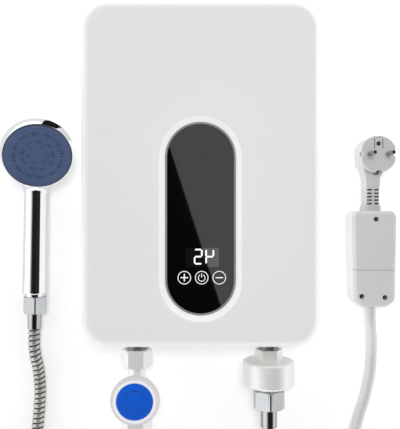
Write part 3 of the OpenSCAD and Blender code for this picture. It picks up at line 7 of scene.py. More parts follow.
import bpy
import numpy as np
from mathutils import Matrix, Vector


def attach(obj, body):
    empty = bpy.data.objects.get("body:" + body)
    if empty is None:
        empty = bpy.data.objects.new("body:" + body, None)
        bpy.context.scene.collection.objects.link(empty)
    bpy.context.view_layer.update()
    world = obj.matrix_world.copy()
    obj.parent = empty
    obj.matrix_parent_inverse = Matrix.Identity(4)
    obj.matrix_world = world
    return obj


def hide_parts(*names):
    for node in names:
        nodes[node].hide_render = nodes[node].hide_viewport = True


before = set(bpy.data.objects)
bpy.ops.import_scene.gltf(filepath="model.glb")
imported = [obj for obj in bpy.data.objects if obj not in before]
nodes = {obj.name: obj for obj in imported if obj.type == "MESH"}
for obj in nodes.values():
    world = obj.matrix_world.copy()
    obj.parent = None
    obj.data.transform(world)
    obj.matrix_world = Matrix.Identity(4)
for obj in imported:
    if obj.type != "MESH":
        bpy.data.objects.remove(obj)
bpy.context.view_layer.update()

MM = 0.001
# Radius where a flat face closes the pole of a polar grid
POLE_R = 0.2

# Bodies of the frame that the pieces ride on
HEATER = "heater"
KNOB = "valve_knob"

# Sizes of the CAD
CASING_W, CASING_H, CASING_D = 242.0, 350.0, 70.0
CORNER_R, EDGE_R, WALL = 29.0, 11.0, 2.5
SPLIT_Z = 36.0
BOTTOM_Y = -CASING_H / 2
PANEL_Y, PANEL_Z = -45.0, 66.5
BEZEL_W, BEZEL_H = 71.0, 194.0
BEVEL_W = 5.5
INLET_X, OUTLET_X, FITTING_Z = -67.0, 72.0, 36.0
VALVE_Y = BOTTOM_Y - 56.3
KNOB_Z = 51.3
KNOB_R, CAP_R = 25.5, 18.6
HOSE_R, RIB_PITCH = 6.5, 5.5
CORD_R = 6.0
HEAD_R, FACE_R, FACE_T = 38.2, 35.0, 4.0
HANDSET_AT = np.array([-180.7, -127.0, 14.1])
HANDSET_YAW, HANDSET_ROLL, HEAD_TILT = -0.9, 16.5, 29.0
HEAD_Y, HEAD_RISE = 146.4, 35.0
COIL_LIFT, TURN_GAP, COIL_STEP = 1.2, 0.6, 5.0

# Routes of the lead and the hose, as in the CAD
CORD_HEATER_ROUTE = [
    [-67, -187, 11], [-67, -199, 11], [-67, -211, 11], [-67, -230, 8.6], [-67, -248, 6.6],
    [-67, -263, 6.1], [-63, -281, 6.1], [-53, -296, 6.1], [-37, -306, 6.1], [-18, -310, 6.1],
    [10, -310, 6.1], [40, -310, 6.1], [72, -310, 6.1], [104, -310, 6.1], [136, -310, 6.3],
    [162, -310, 6.8], [184, -310, 7.2], [196, -310, 7.2], [208, -310, 7.2],
]
CORD_PLUG_ROUTE = [
    [150, -368, 19.8], [150, -356, 19.8], [150, -344, 19.8], [151.5, -328, 19.8], [155, -312, 19.8],
    [160, -298, 19.2], [165.6, -284, 16], [171.2, -270, 11.4], [176.6, -256, 7.6], [182, -241, 6.1],
    [187, -217, 6.1], [188.5, -196, 7], [187.5, -178, 11], [185.2, -163, 16], [184, -152, 18],
    [184, -142, 18], [184, -132, 18],
]
HOSE_OUTLET_ROUTE = [
    [72, -264, 36], [72, -273, 36], [72, -282, 36], [72, -302, 32], [72, -324, 24.5], [72, -346, 16],
    [72, -367, 9.6], [71, -388, 7], [66, -409, 6.6], [53, -434, 6.6], [32, -453, 6.6], [5, -465, 6.6],
    [-24, -468, 6.6], [-56, -468, 6.6], [-90, -468, 6.8], [-115, -468, 7.4], [-133, -468, 7.7],
    [-146, -468, 7.7], [-159, -468, 7.7],
]
HOSE_HANDSET_ROUTE = [
    [-212.3, -339.3, 21.3], [-207.7, -334.7, 21.3], [-203.1, -330.1, 21.3], [-196.6, -321.6, 19.6],
    [-188.6, -307.5, 14.6], [-183, -292.1, 9.4], [-180.1, -276, 6.9], [-178.4, -258, 6.6],
    [-177.3, -241, 6.6], [-177.6, -224, 7], [-178.9, -207, 9.5], [-180.8, -194, 12.6],
    [-181.56, -182, 14.1], [-181.43, -173.5, 14.1], [-181.3, -165.1, 14.1],
]
# Coils: middle, radius of the outermost turn, radius of the tube, first and turned angle in degrees
CORD_COIL = dict(at=(220, -380), r_out=70, tube_r=CORD_R, start=90, turn=630)
HOSE_COIL = dict(at=(-172, -398), r_out=70, tube_r=HOSE_R, start=-90, turn=855)
# Steps of each span of a route, and the least spacing of the lead's rings
ROUTE_STEPS, LEAD_STEP = 8, 3.0

# The photograph: its camera's place in metres, and its focal length and height in pixels
CAMERA_AT = (-0.0005, -0.04075, 0.650)
FOCAL_PX, PHOTO_PX = 582.0, 429.0
SENSOR = 36.0


def camera():
    """A camera straight above the flat lay: 1 px of the photograph is 1 mm at the height of 68 mm."""
    data = bpy.data.cameras.new("photo_camera")
    data.sensor_width = SENSOR
    data.lens = SENSOR * FOCAL_PX / PHOTO_PX
    data.clip_end = 20.0
    obj = bpy.data.objects.new("photo_camera", data)
    obj.location = CAMERA_AT
    bpy.context.collection.objects.link(obj)
    bpy.context.scene.camera = obj


camera()


# Paths

def spline(points, steps):
    """Catmull-Rom curve through the points: each span is the cubic of its two ends and their neighbours."""
    p = np.asarray(points, float)
    q = np.vstack([2 * p[0] - p[1], p, 2 * p[-1] - p[-2]])
    a, b, c, d = (q[k:k + len(p) - 1, None, :] for k in range(4))
    t = (np.arange(steps) / steps)[None, :, None]
    second = (2 * a - 5 * b + 4 * c - d) * t**2
    third = (3 * b - a - 3 * c + d) * t**3
    curve = 0.5 * (2 * b + (c - a) * t + second + third)
    return np.vstack([curve.reshape(-1, 3), p[-1:]])


def coil(at, r_out, tube_r, start, turn):
    """Two layers of turns: r = r_out - pitch * min(u, turn - u) / 360, and z climbs a pitch in the middle
    half turn."""
    u = np.arange(0, turn + 0.5 * COIL_STEP, COIL_STEP)
    pitch = 2 * tube_r + TURN_GAP
    r = r_out - pitch * np.minimum(u, turn - u) / 360
    t = np.clip((u - (turn - 180) / 2) / 180, 0, 1)
    a = np.radians(start - u)
    z = tube_r + COIL_LIFT + pitch * t * t * (3 - 2 * t)
    return np.stack([at[0] + r * np.cos(a), at[1] + r * np.sin(a), z], axis=1)


def lengths(path):
    """Length of the path from its start to each of its points."""
    return np.concatenate([[0], np.cumsum(np.linalg.norm(np.diff(path, axis=0), axis=1))])


def resample(path, spots):
    """Points of the path at the given lengths from its start."""
    s = lengths(path)
    return np.stack([np.interp(spots, s, path[:, k]) for k in range(3)], axis=1)


def path_frames(path):
    """Tangent, side and upward direction at each point of a path that never stands upright."""
    tangent = np.gradient(path, axis=0)
    tangent /= np.linalg.norm(tangent, axis=1, keepdims=True)
    side = np.cross([0.0, 0.0, 1.0], tangent)
    side /= np.linalg.norm(side, axis=1, keepdims=True)
    return tangent, side, np.cross(tangent, side)


# Meshes

def grid_faces(rows, cols, wrap_rows, wrap_cols):
    """Quads between the neighbours of a rows by cols grid of points, closed around where asked."""
    i = np.arange(rows if wrap_rows else rows - 1)[:, None]
    j = np.arange(cols if wrap_cols else cols - 1)[None, :]
    i1, j1 = (i + 1) % rows, (j + 1) % cols
    quads = [i * cols + j, i * cols + j1, i1 * cols + j1, i1 * cols + j]
    shape = (i.shape[0], j.shape[1])
    return np.stack([np.broadcast_to(q, shape) for q in quads], axis=-1).reshape(-1, 4)


# Kinds of grids for build(): wrap_rows, wrap_cols, cap_first, cap_last, flip
TUBE = (False, True, True, True, False)
FLIPPED_TUBE = (False, True, True, True, True)
RING = (True, True, False, False, False)


def build(name, parts, body, material, smooth=60.0):
    """One object of several grids, each (points, wrap_rows, wrap_cols, cap_first, cap_last, flip). Edges
    steeper than the angle of smooth, in degrees, stay sharp."""
    verts, faces, base = [], [], 0
    for points, wrap_rows, wrap_cols, cap_first, cap_last, flip in parts:
        rows, cols = points.shape[:2]
        quads = grid_faces(rows, cols, wrap_rows, wrap_cols)
        if flip:
            quads = quads[:, ::-1]
        faces += (quads + base).tolist()
        first = list(range(base, base + cols))
        last = list(range(base + (rows - 1) * cols, base + rows * cols))
        if cap_first:
            faces.append(first if flip else first[::-1])
        if cap_last:
            faces.append(last[::-1] if flip else last)
        verts.append(points.reshape(-1, 3) * MM)
        base += rows * cols
    mesh = bpy.data.meshes.new(name)
    mesh.from_pydata(np.vstack(verts).tolist(), [], faces)
    mesh.validate()
    mesh.update()
    obj = bpy.data.objects.new(name, mesh)
    bpy.context.collection.objects.link(obj)
    mesh.polygons.foreach_set("use_smooth", np.ones(len(mesh.polygons), bool))
    mesh.set_sharp_from_angle(angle=np.radians(smooth))
    mesh.materials.append(material)
    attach(obj, body)
    return obj


def second_finish(obj, faces, material):
    """Gives some faces of an object, by their numbers, another material."""
    index = np.zeros(len(obj.data.polygons), np.int32)
    index[faces] = 1
    obj.data.materials.append(material)
    obj.data.polygons.foreach_set("material_index", index)


def face_sums(values):
    """Sum of the values at the four corners of each face of a grid that wraps around its columns."""
    pairs = values + np.roll(values, -1, axis=1)
    return pairs[1:] + pairs[:-1]


def tube_grid(path, radius, sides):
    """Rings around the path, whose radius may change along and around it:
    centre + r (cos a side + sin a up)."""
    _, side, up = path_frames(path)
    a = np.linspace(0, 2 * np.pi, sides, endpoint=False)[None, :, None]
    r = np.asarray(radius, float)
    r = np.broadcast_to(r if r.ndim == 2 else r.reshape(-1, 1), (len(path), sides))[..., None]
    return path[:, None, :] + r * (np.cos(a) * side[:, None, :] + np.sin(a) * up[:, None, :])


def revolve_grid(profile, sides, place):
    """Profile of (r, h) turned about its axis: (r cos a, r sin a, h), put in place by a function."""
    p = np.asarray(profile, float)
    a = np.linspace(0, 2 * np.pi, sides, endpoint=False)[None, :]
    r, h = p[:, :1], p[:, 1:2]
    points = np.stack([r * np.cos(a), r * np.sin(a), np.broadcast_to(h, (len(p), sides))], axis=-1)
    return place(points)


def smooth_profile(points, steps):
    """Curve through the corner points of a profile."""
    p = np.asarray(points, float)
    return spline(np.column_stack([p, np.zeros(len(p))]), steps)[:, :2]


def rounded_outline(corners, radii, arc):
    """Closed outline of a convex polygon, counterclockwise, with arcs of the given radii as corners."""
    c = np.asarray(corners, float)
    radii = np.broadcast_to(np.asarray(radii, float), (len(c),))
    before = np.roll(c, 1, axis=0) - c
    after = np.roll(c, -1, axis=0) - c
    before /= np.linalg.norm(before, axis=1, keepdims=True)
    after /= np.linalg.norm(after, axis=1, keepdims=True)
    half = np.arccos(np.clip(np.sum(before * after, axis=1), -1, 1)) / 2
    bisector = before + after
    bisector /= np.linalg.norm(bisector, axis=1, keepdims=True)
    middle = c + bisector * (radii / np.sin(half))[:, None]
    sweep = np.pi - 2 * half
    away = np.arctan2(-bisector[:, 1], -bisector[:, 0])
    t = np.linspace(-0.5, 0.5, arc)[None, :]
    a = away[:, None] + sweep[:, None] * t
    x = middle[:, :1] + radii[:, None] * np.cos(a)
    y = middle[:, 1:] + radii[:, None] * np.sin(a)
    return np.stack([x, y], axis=-1).reshape(-1, 2)


def rect_outline(w, h, r, arc, y=0.0):
    """Rounded rectangle of width w and height h about (0, y)."""
    low, high = y - h / 2, y + h / 2
    corners = [[-w / 2, low], [w / 2, low], [w / 2, high], [-w / 2, high]]
    return rounded_outline(corners, min(r, w / 2 - 1e-4), arc)


def level(outline, z):
    """The outline at the height z."""
    return np.column_stack([outline, np.full(len(outline), z)])


# Materials

def new_group(name, sockets_in, sockets_out):
    """Empty shader node group with named sockets, each (name, kind, default)."""
    group = bpy.data.node_groups.new(name, "ShaderNodeTree")
    for label, kind, default in sockets_in:
        socket = group.interface.new_socket(label, in_out="INPUT", socket_type=kind)
        socket.default_value = default
    for label, kind in sockets_out:
        group.interface.new_socket(label, in_out="OUTPUT", socket_type=kind)
    return group, group.nodes.new("NodeGroupInput"), group.nodes.new("NodeGroupOutput")


def surface_grain():
    """Slow clouds shift the colour and the roughness, and a fine noise gives the height of a moulded or
    ground skin."""
    group, inp, out = new_group(
        "surface_grain",
        [("Colour A", "NodeSocketColor", (0.8, 0.8, 0.8, 1)),
         ("Colour B", "NodeSocketColor", (0.7, 0.7, 0.7, 1)),
         ("Cloud scale", "NodeSocketFloat", 30.0), ("Grain scale", "NodeSocketFloat", 2500.0),
         ("Rough low", "NodeSocketFloat", 0.3), ("Rough high", "NodeSocketFloat", 0.4)],
        [("Colour", "NodeSocketColor"), ("Roughness", "NodeSocketFloat"), ("Height", "NodeSocketFloat")],
    )
    link = group.links.new
    where = group.nodes.new("ShaderNodeTexCoord").outputs["Object"]
    cloud = group.nodes.new("ShaderNodeTexNoise")
    cloud.inputs["Detail"].default_value = 4.0
    link(where, cloud.inputs["Vector"])
    link(inp.outputs["Cloud scale"], cloud.inputs["Scale"])
    spread = group.nodes.new("ShaderNodeMapRange")
    spread.inputs["From Min"].default_value = 0.3
    spread.inputs["From Max"].default_value = 0.7
    link(cloud.outputs["Fac"], spread.inputs["Value"])
    tint = group.nodes.new("ShaderNodeMix")
    tint.data_type = "RGBA"
    link(spread.outputs["Result"], tint.inputs["Factor"])
    link(inp.outputs["Colour A"], tint.inputs[6])
    link(inp.outputs["Colour B"], tint.inputs[7])
    rough = group.nodes.new("ShaderNodeMix")
    link(spread.outputs["Result"], rough.inputs["Factor"])
    link(inp.outputs["Rough low"], rough.inputs["A"])
    link(inp.outputs["Rough high"], rough.inputs["B"])
    grain = group.nodes.new("ShaderNodeTexNoise")
    grain.inputs["Detail"].default_value = 2.0
    link(where, grain.inputs["Vector"])
    link(inp.outputs["Grain scale"], grain.inputs["Scale"])
    link(tint.outputs[2], out.inputs["Colour"])
    link(rough.outputs["Result"], out.inputs["Roughness"])
    link(grain.outputs["Fac"], out.inputs["Height"])
    return group


GRAIN = surface_grain()


def srgb(colour):
    """Linear colour of an 8-bit display colour."""
    v = np.array(colour) / 255.0
    v = np.where(v <= 0.04045, v / 12.92, ((v + 0.055) / 1.055) ** 2.4)
    return (float(v[0]), float(v[1]), float(v[2]), 1.0)


def finish(name, colour, second, rough, metallic=0.0, grain=2500.0, bump=0.05, ior=1.5):
    """Principled material whose colour, roughness and skin come from the surface grain. Its two colours are
    8-bit display colours, and its roughness lies between two ends."""
    material = bpy.data.materials.new(name)
    material.use_nodes = True
    tree = material.node_tree
    shader = tree.nodes["Principled BSDF"]
    shader.inputs["Metallic"].default_value = metallic
    shader.inputs["IOR"].default_value = ior
    skin = tree.nodes.new("ShaderNodeGroup")
    skin.node_tree = GRAIN
    skin.inputs["Colour A"].default_value = srgb(colour)
    skin.inputs["Colour B"].default_value = srgb(second)
    skin.inputs["Grain scale"].default_value = grain
    skin.inputs["Rough low"].default_value = rough[0]
    skin.inputs["Rough high"].default_value = rough[1]
    tree.links.new(skin.outputs["Colour"], shader.inputs["Base Color"])
    tree.links.new(skin.outputs["Roughness"], shader.inputs["Roughness"])
    raised = tree.nodes.new("ShaderNodeBump")
    raised.inputs["Strength"].default_value = bump
    raised.inputs["Distance"].default_value = 0.0003
    tree.links.new(skin.outputs["Height"], raised.inputs["Height"])
    tree.links.new(raised.outputs["Normal"], shader.inputs["Normal"])
    return material


def paint_edge_highlight(material, colour, rise, fall):
    """Mixes a paler colour in between two heights: a painted highlight along a soft, rounded edge. It rises
    and falls over the given stretches of height."""
    tree = material.node_tree
    shader = tree.nodes["Principled BSDF"]
    own = shader.inputs["Base Color"].links[0].from_socket
    split = tree.nodes.new("ShaderNodeSeparateXYZ")
    tree.links.new(tree.nodes.new("ShaderNodeTexCoord").outputs["Object"], split.inputs[0])
    both = tree.nodes.new("ShaderNodeMath")
    both.operation = "MULTIPLY"
    for i, (stretch, ends) in enumerate([(rise, (0.0, 1.0)), (fall, (1.0, 0.0))]):
        ramp = tree.nodes.new("ShaderNodeMapRange")
        ramp.interpolation_type = "SMOOTHSTEP"
        values = (*np.multiply(stretch, MM), *ends)
        for label, value in zip(("From Min", "From Max", "To Min", "To Max"), values):
            ramp.inputs[label].default_value = value
        tree.links.new(split.outputs["Z"], ramp.inputs["Value"])
        tree.links.new(ramp.outputs["Result"], both.inputs[i])
    tint = tree.nodes.new("ShaderNodeMix")
    tint.data_type = "RGBA"
    tint.inputs[7].default_value = srgb(colour)
    tree.links.new(both.outputs[0], tint.inputs["Factor"])
    tree.links.new(own, tint.inputs[6])
    tree.links.new(tint.outputs[2], shader.inputs["Base Color"])


def paint(node, material):
    """Gives a CAD node its finish."""
    mesh = nodes[node].data
    mesh.materials.clear()
    mesh.materials.append(material)


CASING_WHITE = finish("casing_white", (231, 231, 232), (230, 230, 231), (0.29, 0.33), bump=0.02)
# Painted highlight: a paler band of colour along the casing's rounded front edge
paint_edge_highlight(CASING_WHITE, (248, 248, 248), rise=(57, 63), fall=(67.2, 69.8))
# Glossier copy of the casing's white for the panel's bevel: the gloss is its own, the paler colour is
# painted highlight
BEVEL_HIGHLIGHT_WHITE = finish("bevel_white_painted_highlight", (250, 250, 250), (247, 247, 247), (0.16, 0.2), bump=0.02)
FITTING_WHITE = finish("fitting_white", (250, 250, 251), (246, 246, 247), (0.34, 0.42),
                       metallic=0.45, bump=0.04)
ADAPTER_WHITE = finish("adapter_white", (242, 242, 240), (238, 238, 235), (0.36, 0.44),
                       metallic=0.4, bump=0.04)
BEZEL_GREY = finish("bezel_grey", (142, 142, 143), (134, 134, 136), (0.3, 0.4), grain=6000)
GLASS_BLACK = finish("glass_black", (4, 4, 5), (6, 6, 7), (0.02, 0.03), bump=0.0, ior=1.52)
CHROME = finish("chrome", (238, 239, 241), (232, 233, 236), (0.05, 0.08), metallic=1.0, bump=0.01)
SATIN_STEEL = finish("satin_steel", (192, 194, 196), (182, 184, 186), (0.2, 0.27), metallic=1.0, bump=0.05)
# Rough steel for the nipples, painted darker: painted shade for the gap under the casing where they stand
NIPPLE_SHADED_STEEL = finish("nipple_steel_painted_shade", (150, 150, 151), (138, 138, 139), (0.4, 0.5), metallic=1.0)
FERRULE_STEEL = finish("ferrule_steel", (186, 186, 185), (176, 176, 175), (0.1, 0.16),
                       metallic=1.0, bump=0.02)
BRASS = finish("brass", (196, 158, 92), (180, 140, 78), (0.25, 0.4), metallic=1.0)
BLACK_RUBBER = finish("black_rubber", (34, 34, 35), (26, 26, 27), (0.5, 0.65), bump=0.2)
BOARD_GREEN = finish("board_green", (22, 92, 54), (16, 78, 46), (0.35, 0.5), bump=0.1)
DISPLAY_GREY = finish("display_grey", (96, 98, 102), (84, 86, 90), (0.5, 0.6))
INNER_CREAM = finish("inner_cream", (226, 222, 208), (216, 212, 198), (0.45, 0.55), bump=0.08)
ROTOR_BLUE = finish("rotor_blue", (40, 98, 176), (34, 88, 160), (0.4, 0.5))
DEVICE_BLACK = finish("device_black", (22, 22, 23), (30, 30, 31), (0.45, 0.6), bump=0.1)
WIRE_RED = finish("wire_red", (160, 34, 28), (146, 28, 24), (0.4, 0.5))
KNOB_WHITE = finish("knob_white", (244, 246, 250), (239, 242, 247), (0.35, 0.45), bump=0.05)
KNOB_GREY = finish("knob_grey", (220, 219, 220), (211, 210, 211), (0.4, 0.5), bump=0.08)
CAP_BLUE = finish("cap_blue", (2, 84, 198), (4, 90, 212), (0.4, 0.5), bump=0.04, ior=1.3)
# Darker blue for the raised arcs on the knob's disc: painted shade of the arcs
ARC_SHADE_BLUE = finish("arc_blue_painted_shade", (12, 80, 182), (10, 76, 174), (0.4, 0.5), bump=0.04, ior=1.3)
HOSE_CHROME = finish("hose_chrome", (204, 204, 200), (190, 190, 186), (0.44, 0.54), metallic=1.0)
# Dark finish for the hose's grooves: painted shade in the creases between the ribs
HOSE_GROOVE_SHADE = finish("hose_groove_painted_shade", (74, 73, 70), (62, 61, 58), (0.4, 0.5), metallic=0.5)
FACE_BLUE = finish("face_blue", (64, 84, 122), (57, 76, 112), (0.42, 0.52), bump=0.06)
NOZZLE_BLUE = finish("nozzle_blue", (52, 66, 94), (46, 58, 84), (0.45, 0.6), bump=0.1)
CORD_GREY = finish("cord_grey", (224, 224, 225), (218, 218, 219), (0.46, 0.54),
                   metallic=0.35, bump=0.06, ior=1.6)
BREAKER_GREY = finish("breaker_grey", (205, 205, 206), (200, 200, 201), (0.42, 0.5), bump=0.12, grain=4000)
PLUG_GREY = finish("plug_grey", (198, 198, 199), (192, 192, 194), (0.45, 0.55), bump=0.12, grain=4000)
RELIEF_GREY = finish("relief_grey", (190, 191, 191), (182, 183, 184), (0.5, 0.6), bump=0.12, grain=4000)
WINDOW_BLACK = finish("window_black", (14, 14, 15), (18, 18, 19), (0.02, 0.03), bump=0.0, ior=1.8)
PIN_METAL = finish("pin_metal", (158, 156, 152), (146, 144, 140), (0.2, 0.27), metallic=1.0)
BUTTON_YELLOW = finish("button_yellow", (222, 186, 52), (212, 176, 46), (0.4, 0.5))
BUTTON_GREEN = finish("button_green", (46, 132, 72), (40, 122, 66), (0.4, 0.5))

for name, material in {
    "rear_cover": CASING_WHITE, "front_cover": CASING_WHITE, "casing_seal": BLACK_RUBBER,
    "housing_screws": SATIN_STEEL, "panel_bezel": BEZEL_GREY, "glass_panel": GLASS_BLACK,
    "display_board": BOARD_GREEN, "led_display": DISPLAY_GREY, "inlet_nipple": NIPPLE_SHADED_STEEL,
    "outlet_nipple": NIPPLE_SHADED_STEEL, "lock_nuts": BRASS, "nipple_washers": BLACK_RUBBER,
    "flow_sensor_body": INNER_CREAM, "flow_rotor": ROTOR_BLUE, "rotor_axle": SATIN_STEEL,
    "inlet_pipe": BRASS, "heating_tank": SATIN_STEEL, "heating_element": SATIN_STEEL,
    "tank_clamps": SATIN_STEEL, "thermal_cutout": INNER_CREAM, "temperature_probes": INNER_CREAM,
    "outlet_pipe": BRASS, "power_board": BOARD_GREEN, "triac": DEVICE_BLACK,
    "terminal_block": INNER_CREAM, "wiring": WIRE_RED, "valve_union_nut": FITTING_WHITE,
    "valve_washer": BLACK_RUBBER, "valve_body": FITTING_WHITE, "valve_bonnet": FITTING_WHITE,
    "valve_stem": SATIN_STEEL, "valve_knob": KNOB_WHITE, "knob_cap": CAP_BLUE,
    "isolation_adapter": ADAPTER_WHITE, "outlet_hose_nut": SATIN_STEEL,
    "outlet_hose_ferrule": FERRULE_STEEL, "hose_outlet_run": HOSE_CHROME, "hose_coil": HOSE_CHROME,
    "hose_handset_run": HOSE_CHROME, "hose_tie": BLACK_RUBBER, "handset_hose_ferrule": FERRULE_STEEL,
    "handset_hose_nut": SATIN_STEEL, "handset_body": CHROME, "spray_face": FACE_BLUE,
    "spray_nozzles": NOZZLE_BLUE, "cord_gland": CASING_WHITE, "cord_heater_run": CORD_GREY,
    "cord_coil": CORD_GREY, "cord_plug_run": CORD_GREY, "cord_tie": BLACK_RUBBER,
    "breaker_base": BREAKER_GREY, "breaker_cover": BREAKER_GREY, "breaker_terminal_cover": BREAKER_GREY,
    "breaker_screws": SATIN_STEEL, "test_button": BUTTON_YELLOW, "reset_button": BUTTON_GREEN,
    "plug_strain_relief": RELIEF_GREY, "plug_body": PLUG_GREY, "plug_pins": PIN_METAL,
    "plug_earth_clips": PIN_METAL,
}.items():
    paint(name, material)


# Lead and hose

def whole_path(first, turns, last):
    """Path of the first route, the coil and the last route."""
    return np.vstack([spline(first, ROUTE_STEPS)[:-1], coil(**turns), spline(last, ROUTE_STEPS)])


def lead():
    """Round lead from the gland through its coil to the breaker, a tube of one radius along the route."""
    sides = 32
    path = whole_path(CORD_HEATER_ROUTE, CORD_COIL, CORD_PLUG_ROUTE)
    total = lengths(path)[-1]
    path = resample(path, np.linspace(0, total, int(total / LEAD_STEP)))
    obj = build("lead", [(tube_grid(path, CORD_R, sides), *TUBE)], HEATER, CORD_GREY)
    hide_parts("cord_heater_run", "cord_coil", "cord_plug_run")


def shower_hose():
    """Stripwound metal hose. Its ribs have flat crests, and the groove between them runs around as a helix:
    at the angle a it is depth (1/2 - 1/2 cos(2 pi s / pitch - a))^4 deep. Faces whose corners lie deeper
    than a share of the depth, on average, get a dark finish: painted shade in the groove."""
    steps, sides, depth, deep_share = 12, 24, 1.2, 0.35
    path = whole_path(HOSE_OUTLET_ROUTE, HOSE_COIL, HOSE_HANDSET_ROUTE)
    total = lengths(path)[-1]
    ribs = int(round(total / RIB_PITCH))
    phase = np.arange(ribs * steps + 1) / steps
    path = resample(path, phase * total / ribs)
    a = np.linspace(0, 2 * np.pi, sides, endpoint=False)
    dip = (0.5 - 0.5 * np.cos(2 * np.pi * phase[:, None] - a)) ** 4
    grid = tube_grid(path, HOSE_R - depth * dip, sides)
    obj = build("shower_hose", [(grid, *TUBE)], HEATER, HOSE_CHROME)
    second_finish(obj, np.flatnonzero(face_sums(dip) > 4 * deep_share), HOSE_GROOVE_SHADE)
    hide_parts("hose_outlet_run", "hose_coil", "hose_handset_run")


lead()
shower_hose()


# Casing front

def casing_front():
    """Front shell: rounded rectangles rise up the side, roll over the edge by a quarter circle and blend
    into the panel's pill, whose bevel drops to the rim. The inner wall follows the same way back, so the
    shell is closed."""
    arc, quarter_steps, blend_steps = 24, 13, 8
    # Reach and drop of the bevel's rolled upper edge, and a close distance of rows that keeps an edge crisp
    roll, roll_drop, crisp = 1.6, 0.5, 0.01
    # Well behind the rim: room around the rim, heights of its ledge, the ledge's and the back's offsets
    room, ledge_high, ledge_low, ledge_in, back_out = 0.1, 61.5, 59.5, 12, 10

    def box(inset, z):
        return level(rect_outline(CASING_W - 2 * inset, CASING_H - 2 * inset, CORNER_R - inset, arc), z)

    def pill(w, h, z):
        return level(rect_outline(w, h, w / 2, arc, PANEL_Y), z)

    def mixed(outer, inner, t):
        return outer + (inner - outer) * t

    lip = CASING_D - EDGE_R
    turn = np.radians(np.linspace(0, 90, quarter_steps))
    rows = [box(0, SPLIT_Z), box(0, SPLIT_Z + crisp), box(0, lip - crisp)]
    rows += [box(EDGE_R * (1 - np.cos(a)), lip + EDGE_R * np.sin(a)) for a in turn]
    edge = box(EDGE_R + 0.3, CASING_D)
    rim_w, rim_h = BEZEL_W + 2 * BEVEL_W, BEZEL_H + 2 * BEVEL_W
    wide = pill(rim_w + roll, rim_h + roll, CASING_D)
    rows += [mixed(edge, wide, t) for t in np.linspace(0, 1, blend_steps)]
    bevel_first = len(rows)
    rows += [pill(rim_w + roll - roll * t, rim_h + roll - roll * t, CASING_D - roll_drop * t * t)
             for t in (0.4, 0.7, 1.0)]
    seat_w, seat_h = BEZEL_W + room, BEZEL_H + room
    drop = CASING_D - PANEL_Z - roll_drop
    rows += [pill(seat_w + 2 * BEVEL_W * t, seat_h + 2 * BEVEL_W * t, PANEL_Z + drop * t ** 1.4)
             for t in (0.97, 0.75, 0.5, 0.25, 0.05, 0.0)]
    bevel_last = len(rows)
    inner_z, inner_r = CASING_D - WALL, EDGE_R - WALL
    rows += [pill(seat_w, seat_h, z) for z in (PANEL_Z - 2 * crisp, ledge_high)]
    rows += [pill(BEZEL_W - ledge_in, BEZEL_H - ledge_in, z) for z in (ledge_high, ledge_low)]
    rows += [pill(BEZEL_W + back_out, BEZEL_H + back_out, z) for z in (ledge_low, inner_z)]
    rows += [mixed(rows[-1], box(EDGE_R, inner_z), t) for t in (0.5, 1)]
    rows += [box(WALL + inner_r * (1 - np.cos(a)), lip + inner_r * np.sin(a)) for a in turn[::-3]]
    rows += [box(WALL, SPLIT_Z)]
    obj = build("casing_front", [(np.stack(rows), *RING)], HEATER, CASING_WHITE, smooth=35)
    # The bevel's faces get the paler white: painted highlight on the bevel
    second_finish(obj, np.arange(bevel_first * len(edge), bevel_last * len(edge)), BEVEL_HIGHLIGHT_WHITE)
    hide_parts("front_cover")


casing_front()


# Handset

def rotation(axis, degrees):
    """Matrix that turns points about one axis."""
    c, s = np.cos(np.radians(degrees)), np.sin(np.radians(degrees))
    i, j = [(1, 2), (2, 0), (0, 1)][axis]
    m = np.eye(3)
    m[i, i], m[i, j], m[j, i], m[j, j] = c, -s, s, c
    return m


HANDSET_TURN = rotation(2, HANDSET_YAW) @ rotation(1, HANDSET_ROLL)
HEAD_TURN = HANDSET_TURN @ rotation(0, HEAD_TILT)
HEAD_AT = HANDSET_AT + HANDSET_TURN @ np.array([0.0, HEAD_Y, HEAD_RISE])


def on_handset(points):
    """From the handle's own frame, with y up the handle, to the frame of the CAD."""
    return HANDSET_AT + points @ HANDSET_TURN.T


def on_head(points):
    """From the head's own frame, with the spray face at z = 0, to the frame of the CAD."""
    return HEAD_AT + points @ HEAD_TURN.T


def along_handle(points):
    """From a revolved profile, whose h runs up the handle, to the frame of the CAD."""
    return on_handset(np.stack([points[..., 0], points[..., 2], -points[..., 1]], axis=-1))


def eased(t):
    """Smooth step from 0 to 1."""
    t = np.clip(t, 0, 1)
    return t * t * (3 - 2 * t)


